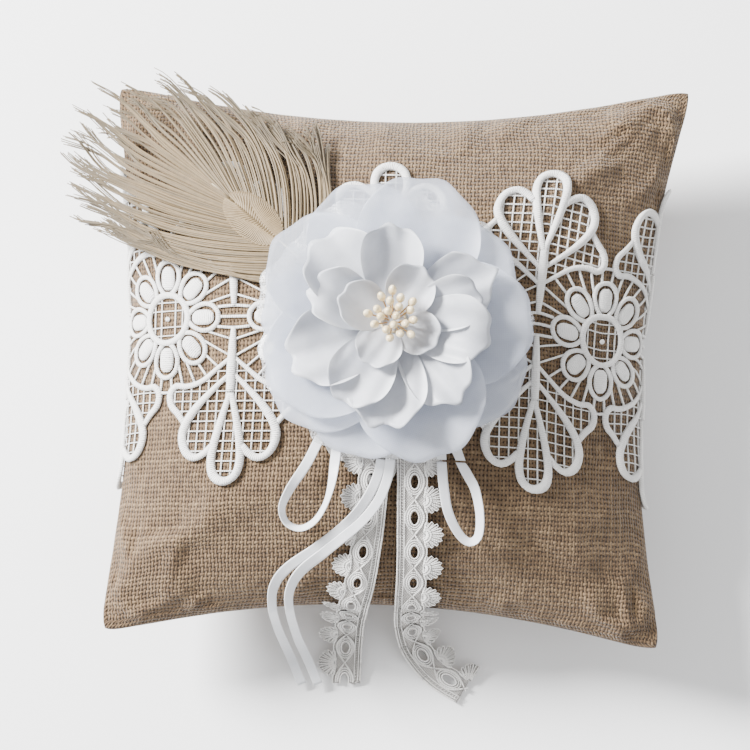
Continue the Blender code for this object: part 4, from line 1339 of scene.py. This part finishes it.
def feather_barbs():
    rng = np.random.default_rng(11)
    parts = Parts()
    # Departure and arrival angles from the base of the feather to its tip, and the span of the roots
    for sign, tips, leaves, arrives, roots, parting in (
        (1, RIGHT_TIPS, (52, 56, 50, 38, 20, 0), (46, 4, -14, -16, -10, 0), (-15, 34), 0.9),
        (-1, LEFT_TIPS, (46, 46, 42, 32, 16, 0), (14, 10, 8, 4, 0, 0), (-16, 34), 0.3),
    ):
        feather_side(parts, rng, sign, tips, leaves, arrives, roots, parting)
    for sign in (1, -1):
        for k in range(EYE_BARBS):
            share = (k + 0.5) / EYE_BARBS
            turn = math.radians(165 - 158 * share)
            tip = (EYE_CENTRE + EYE_LENGTH * math.cos(turn), sign * EYE_WIDTH * math.sin(turn))
            root = (EYE_CENTRE - EYE_LENGTH + 1.62 * EYE_LENGTH * share, 0)
            add_barb(parts, root, tip, sign * 40, sign * 28, 1.15, 0.85 + 0.1 * (k % 2), 0.22,
                     (0.0, 0.0, 1.0), 9)
    barbs = make_object("feather_barbs", *parts.arrays(), feather_keratin(
        # Bleached peacock barbs: dry parallel fibres in cream and beige
        "bleached_barbs", ("#62553F", "#887352", "#B29D77"), 0.5, 0.25,
    ))
    bend_feather(barbs)
    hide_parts("feather_vane_left", "feather_vane_right")


def feather_rachis():
    """The tapering shaft down the middle of the feather, which ends inside the eye."""
    parts = Parts()
    along = np.linspace(-16, 40, 40) * MM
    line = feather_place(along, 0 * along + 0.0002 * np.sin(along * 90), 0.0005)
    radius = np.interp(along, (-0.016, 0.040), (0.00062, 0.00022))
    add_tube(parts, line, radius, sides=8)
    shaft = make_object("feather_rachis", *parts.arrays(), feather_keratin(
        # The shaft is solid keratin, smoother and glossier than the barbs
        "quill_keratin", ("#C9BB98", "#E3D9BF", "#F6F0E0"), 0.35, 0.15,
    ))
    bend_feather(shaft)
    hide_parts("feather_shaft")


# ---------------------------------------------------------------- ribbons

def bend_at_hinge(piece):
    """Bakes a strip's transform into its points."""
    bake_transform(piece)


def ribbon_line(route, lift, rolls, square_ends=False, held_up=0.0):
    """The middle line of a ribbon laid along a route, and its half sides, turned on edge by the rolls."""
    plan = even_points(smooth_route(route, 90), 0.0011)
    share = np.linspace(0, 1, len(plan))
    roll = np.radians(np.interp(share, np.linspace(0, 1, len(rolls)), rolls))
    roll = np.convolve(np.pad(roll, 6, mode="edge"), np.ones(13) / 13, mode="valid")
    half = RIBBON_WIDTH / 2
    z = lying_height(plan[:, 0], plan[:, 1], lift) + SATIN_WALL / 2
    arch = held_up * np.sin(np.pi * share) ** 0.8
    line = np.column_stack([plan, z + half * np.abs(np.sin(roll)) + arch])
    flow = np.gradient(plan, axis=0)
    side = np.column_stack([flow[:, 1], -flow[:, 0], np.zeros(len(plan))])
    side /= np.linalg.norm(side, axis=1)[:, None]
    if square_ends:
        for end, weight in ((0, 1.0), (1, 0.6), (2, 0.3), (-1, 1.0), (-2, 0.6), (-3, 0.3)):
            side[end] += weight * (np.array((math.copysign(1, side[end, 0]), 0, 0)) - side[end])
    sides = side * (half * np.cos(roll))[:, None]
    right, left = (lying_height(*(plan + sign * sides[:, :2]).T, lift) for sign in (1, -1))
    sides[:, 2] = half * np.sin(roll) + (right - left) / 2 * np.cos(roll)
    return line, sides


def ribbon(name, node, route, lift, rolls, far_end, cloth, held_up=0.0):
    """A narrow satin ribbon laid along a route over the cover."""
    line, sides = ribbon_line(route, lift, rolls, far_end == "object", held_up)
    points, quads, uvs = cloth_strip(line, sides, SATIN_WALL, RIBBON_WIDTH / MM)
    made = make_object(name, points, quads, uvs, np.zeros(len(points)), cloth)
    outward(made)
    bend_at_hinge(made)
    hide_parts(node)


def bow_middle(cloth):
    """The sewn middle of the bow, which stays with the flower: its cross strip and the right loop's roots."""
    parts = Parts()
    for route in (
        ((-0.0150, -0.0340), (0.0020, -0.0340), (0.0190, -0.0340)),
        ((0.0164, -0.0290), (0.0168, -0.0330), (0.0172, -0.0367)),
        ((0.0204, -0.0290), (0.0220, -0.0330), (0.0236, -0.0367)),
    ):
        line, sides = ribbon_line(route, RIBBON_LIFT, (0, 0), square_ends=True)
        parts.add(*cloth_strip(line, sides, SATIN_WALL, RIBBON_WIDTH / MM))
    made = make_object("satin_bow_middle", *parts.arrays(), cloth)
    outward(made)
    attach(made, "pillow")
    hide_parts("ribbon_bow_middle")


def ribbon_bow():
    cloth = satin_ribbon()
    bow_middle(cloth)
    ribbon("satin_loop_left", "ribbon_loop_left",
           LOOP_LEFT_ROUTE, RIBBON_LIFT, (0, 0, 5, 25, 50, 55, 45, 50, 62, 60, 20, 0, 0), "object", cloth,
           0.002)
    ribbon("satin_loop_right", "ribbon_loop_right",
           LOOP_RIGHT_ROUTE, RIBBON_LIFT, (0, 5, 10, 15, 25, 30, 35, 40, 30, 10, 0), "object", cloth, 0.0015)
    ribbon("satin_tail_left", "ribbon_tail_left",
           TAIL_LEFT_ROUTE, RIBBON_LIFT, (0, 10, 20, 10, 0, 0, 15, 30, 15, 0, 0), "bare", cloth)
    ribbon("satin_tail_right", "ribbon_tail_right",
           TAIL_RIGHT_ROUTE, UPPER_RIBBON_LIFT, (0, 0, -15, -10, 0, 10, 25, 30, 10, 0, 0), "bare", cloth)


# ---------------------------------------------------------------- crochet trims

TRIM_REPEAT = 12.7
EYELET_MIDDLE = -2.2
FAN_FOOT = 0.6


def flat_line(points, height, spacing=1.0):
    line = even_points(smooth_route([(l, w, 0.0) for l, w in points], 6 * len(points)), spacing) * MM
    line[:, 2] = height * MM
    return line


def eyelet(half_l, half_w, height):
    """An oval round the eyelet, from its half sizes and its height in millimetres."""
    turn = np.linspace(0, 2 * np.pi, 22, endpoint=False)
    return np.column_stack([
        half_l * np.cos(turn) * MM, (EYELET_MIDDLE + half_w * np.sin(turn)) * MM, 0 * turn + height * MM,
    ])


def trim_threads():
    """One repeat of the trim's threads, flat: along, across, up. Its eyelet is at 0."""
    parts = Parts()
    half = TRIM_REPEAT / 2
    settings = dict(sides=4, flatness=0.85)
    for w, radius in ((-7.9, 0.40), (-7.05, 0.28), (-5.7, 0.26)):
        add_tube(parts, flat_line([(-half, w), (0, w + 0.05), (half, w)], 0.35 + radius, 1.6), radius * MM,
                 tone=0.08, **settings)
    for k in range(12):
        l = -half + (k + 0.5) * TRIM_REPEAT / 12
        rung = flat_line([(l - 0.3, -7.0), (l + 0.3, -5.7)], 0.5, 0.7)
        add_tube(parts, rung, 0.17 * MM, tone=-0.05, **settings)
    for half_l, half_w, radius, tone in (
        (2.75, 1.60, 0.36, 0.12), (3.65, 2.30, 0.30, 0.0), (4.45, 3.00, 0.30, 0.06),
    ):
        ring = eyelet(half_l, half_w, 0.35 + radius)
        add_tube(parts, ring, radius * MM, tone=tone, closed=True, **settings)
    for sign in (-1, 1):
        for reach, raise_by in ((3.3, 0.72), (2.5, 0.62)):
            points = [(l, EYELET_MIDDLE + sign * reach * math.cos(math.pi * l / TRIM_REPEAT))
                      for l in np.linspace(-half, half, 9)]
            add_tube(parts, flat_line(points, raise_by, 1.1), 0.26 * MM, **settings)
    lattice = [
        (l, 1.55 + 0.5 * math.cos(2 * math.pi * l / TRIM_REPEAT)) for l in np.linspace(-half, half, 9)
    ]
    add_tube(parts, flat_line(lattice, 0.65, 1.1), 0.28 * MM, tone=0.05, **settings)
    for radius in (2.0, 2.9):
        arc = [
            (half + radius * math.sin(t), FAN_FOOT + radius * math.cos(t))
            for t in np.linspace(-1.35, 1.35, 9)
        ]
        add_tube(parts, flat_line(arc, 0.75, 0.9), 0.26 * MM, **settings)
    for k in range(9):
        turn = math.radians(-72 + 18 * k)
        reach = 7.1 - 2.1 * (abs(k - 4) / 4) ** 1.6
        out = np.array((math.sin(turn), math.cos(turn)))
        side = np.array((out[1], -out[0]))
        spots = ((1.0, 0.10), (3.0, 0.28), (reach - 1.2, 0.52), (reach - 0.3, 0.42), (reach, 0.0),
                 (reach - 0.3, -0.42), (reach - 1.2, -0.52), (3.0, -0.28), (1.0, -0.10))
        points = [np.array((half, FAN_FOOT)) + out * r + side * s for r, s in spots]
        add_tube(parts, flat_line(points, 0.62, 0.9), 0.25 * MM, tone=0.06, **settings)
    return parts.arrays()


def trim_base():
    """One repeat of the close crochet ground under the threads, with its eyelet hole and scalloped edge."""
    half = TRIM_REPEAT / 2
    parts = Parts()
    count = 40
    turn = np.linspace(0, 2 * np.pi, count, endpoint=False)
    low_w, high_w = -7.9, 1.2
    hole = np.stack([2.35 * np.cos(turn), EYELET_MIDDLE + 1.25 * np.sin(turn)], axis=1)
    reach_l = half / np.maximum(np.abs(np.cos(turn)), 1e-6)
    room = np.where(np.sin(turn) > 0, high_w - EYELET_MIDDLE, EYELET_MIDDLE - low_w)
    reach = np.minimum(reach_l, room / np.maximum(np.abs(np.sin(turn)), 1e-6))
    border = np.stack([reach * np.cos(turn), EYELET_MIDDLE + reach * np.sin(turn)], axis=1)
    for corner in ((half, high_w), (-half, high_w), (half, low_w), (-half, low_w)):
        nearest = np.argmin(np.linalg.norm(border - corner, axis=1))
        border[nearest] = corner
    rings = [hole + (border - hole) * share for share in (0, 0.3, 0.6, 1.0)]
    points = np.concatenate(rings)
    quads = grid_quads(count, 4, wrap=True)
    parts.add(np.column_stack([points, np.zeros(len(points))]) * MM, quads, points[quads])
    l = np.linspace(-half, half, 37)
    offset = (np.abs(l) - half) / 4.7
    edge = np.where(np.abs(l) < 1.7, 2.0, FAN_FOOT + 6.6 * np.sqrt(np.maximum(0, 1 - offset**2)))
    edge = np.maximum(edge, 2.0)
    rows = high_w + (edge - high_w)[None, :] * np.linspace(0, 1, 5)[:, None]
    points = np.stack([np.broadcast_to(l, rows.shape), rows], axis=-1).reshape(-1, 2)
    quads = grid_quads(37, 5)
    parts.add(np.column_stack([points, np.zeros(len(points))]) * MM, quads, points[quads])
    return parts.arrays()


class TrimRoute:
    """Lays a flat trim down the pillow's front and over its edge, by arc length of its middle line."""

    def __init__(self, route, sign):
        self.sign = sign
        self.plan = smooth_route(route, 500)
        z = lying_height(self.plan[:, 0], self.plan[:, 1], TRIM_LIFT)
        self.arc = arc_lengths(np.column_stack([self.plan, z]))
        flow = np.gradient(self.plan, axis=0)
        side = np.column_stack([flow[:, 1], -flow[:, 0]])
        self.side = side / np.linalg.norm(side, axis=1)[:, None]
        self.length = self.arc[-1]

    def place(self, points):
        centre = np.stack([np.interp(points[:, 0], self.arc, self.plan[:, k]) for k in (0, 1)], axis=1)
        side = np.stack([np.interp(points[:, 0], self.arc, self.side[:, k]) for k in (0, 1)], axis=1)
        plan = centre + side * self.sign * points[:, 1:2]
        z = lying_height(plan[:, 0], plan[:, 1], TRIM_LIFT + points[:, 2])
        return np.column_stack([plan, z])


def crochet_trim(side_name, edge, sign, top_x, thread, ground):
    """A trim's ground cloth and its threads, laid along the trim's route."""
    route = [(x - sign * TRIM_WIDTH / 2, y) for x, y in edge]
    path = TrimRoute(((top_x, TRIM_TOP_Y), *route), sign)
    count = int(path.length / (TRIM_REPEAT * MM)) + 1
    rng = np.random.default_rng(5)
    for kind, cell, cloth in (("ground", trim_base(), ground), ("threads", trim_threads(), thread)):
        flat, quads, uvs, tones = cell
        parts = Parts()
        for n in range(count):
            shift = (0.55 + n) * TRIM_REPEAT * MM
            moved = flat + np.array((shift, 0, 0.0))
            keep = moved[:, 0] <= path.length + 1e-6
            used = keep[quads].all(axis=1)
            chosen = quads[used]
            numbers = np.unique(chosen)
            renumber = np.full(len(flat), -1)
            renumber[numbers] = np.arange(len(numbers))
            if len(numbers):
                parts.add(path.place(moved[numbers]), renumber[chosen], uvs[used],
                          tones[numbers] + rng.uniform(-0.04, 0.04))
        made = make_object(f"crochet_trim_{kind}_{side_name}", *parts.arrays(), cloth)
        if kind == "ground":
            outward(made, merge=0.00002)
            if sum(p.normal.z * p.area for p in made.data.polygons) < 0:
                made.data.flip_normals()
            wall = made.modifiers.new("wall", "SOLIDIFY")
            wall.thickness = TRIM_WALL
            wall.offset = 1.0
            bpy.ops.object.modifier_apply(modifier="wall")
            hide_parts(f"crochet_tail_{side_name}")
        bend_at_hinge(made)


# ---------------------------------------------------------------- finishes of the frame's own pieces

def finish_frame_nodes():
    finishes = {
        # Cotton muslin liner: plain fine weave, drawn at 0.8 mm
        "liner_front": plain_cloth("cotton_muslin", ("#D8D0BE", "#F2EDE0"), 0.8, 0.9, 0.3),
        # Carded polyester fibre: matted and soft
        "fibre_filling": plain_cloth("polyester_fibre", ("#DAD8D2", "#F8F7F3"), 0.0, 0.95, 0.1),
        # Waxed jute-coloured thread
        "perimeter_seam_thread": plain_cloth("jute_thread", ("#9A7F55", "#D3BC92"), 0.9, 0.7, 1.5),
        # Pressed wool felt
        "flower_felt_disc": plain_cloth("wool_felt", ("#D2CEC4", "#F2EFE8"), 0.0, 0.95, 2.5),
        # Twisted cotton binding thread
        "stamen_binding_thread": plain_cloth("cotton_thread", ("#BCA77E", "#E2D5B8"), 0.5, 0.7, 2.0),
        "feather_quill": bpy.data.materials["quill_keratin"],
        # The same satin and crochet cotton as the pieces beside them, on Object coordinates
        "ribbon_knot": plain_cloth("polyester_satin_knot", ("#E6E8EC", "#FBFBFC"), 0.45, 0.34, 0.1),
        "crochet_trim_fold": plain_cloth("crochet_cotton_fold", ("#B4B1AC", "#EFEDEA"), 0.9, 0.8, 0.6),
    }
    finishes["liner_back"] = finishes["liner_front"]
    for node, finish in finishes.items():
        for slot in frame["nodes"][node].material_slots:
            slot.material = finish


def studio():
    bpy.ops.mesh.primitive_plane_add(size=FLOOR_SIZE, location=(0, 0, -FLOOR_GAP))
    floor = bpy.context.object
    floor.name = "floor"
    floor.data.materials.append(studio_floor())
    add_light("key_light", (-1.25, 0.62, 0.95), 0.6, 165, "#FFFFFF")
    add_light("fill_light", (0.9, -0.6, 1.3), 1.4, 5, "#F4F7FF")
    world = bpy.data.worlds.new("studio")
    world.use_nodes = True
    world.node_tree.nodes.clear()
    sky = add_node(world.node_tree, "Background", {"Color": linear("#FFFFFF"), "Strength": 0.95})
    add_node(world.node_tree, "OutputWorld", {"Surface": sky})
    bpy.context.scene.world = world


deselect_all()
add_camera()
studio()
stuff_cover()
ribbon_bow()
burlap_cover()
guipure_lace()
tulle_ruffle()
fabric_flower()
stamens()
feather_rachis()
feather_barbs()
# Mercerised cotton crochet thread: tight slanting twist, drawn at 0.8 mm, soft grey-white
trim_thread = cord_thread("mercerised_cotton", ("#D2CFCA", "#FAF8F5"), 0.8, 0.00012, 0.75, slant=1.0)
# Painted shade: the crochet ground is the same cotton as the threads, painted darker grey for the shade under
# the threads
trim_ground_painted_shade = plain_cloth("crochet_ground_painted_shade", ("#8E8A86", "#C9C6C2"), 0.9, 0.85, 0.6)
crochet_trim("left", TRIM_LEFT_EDGE, 1, -0.0080, trim_thread, trim_ground_painted_shade)
crochet_trim("right", TRIM_RIGHT_EDGE, -1, 0.0102, trim_thread, trim_ground_painted_shade)
finish_frame_nodes()
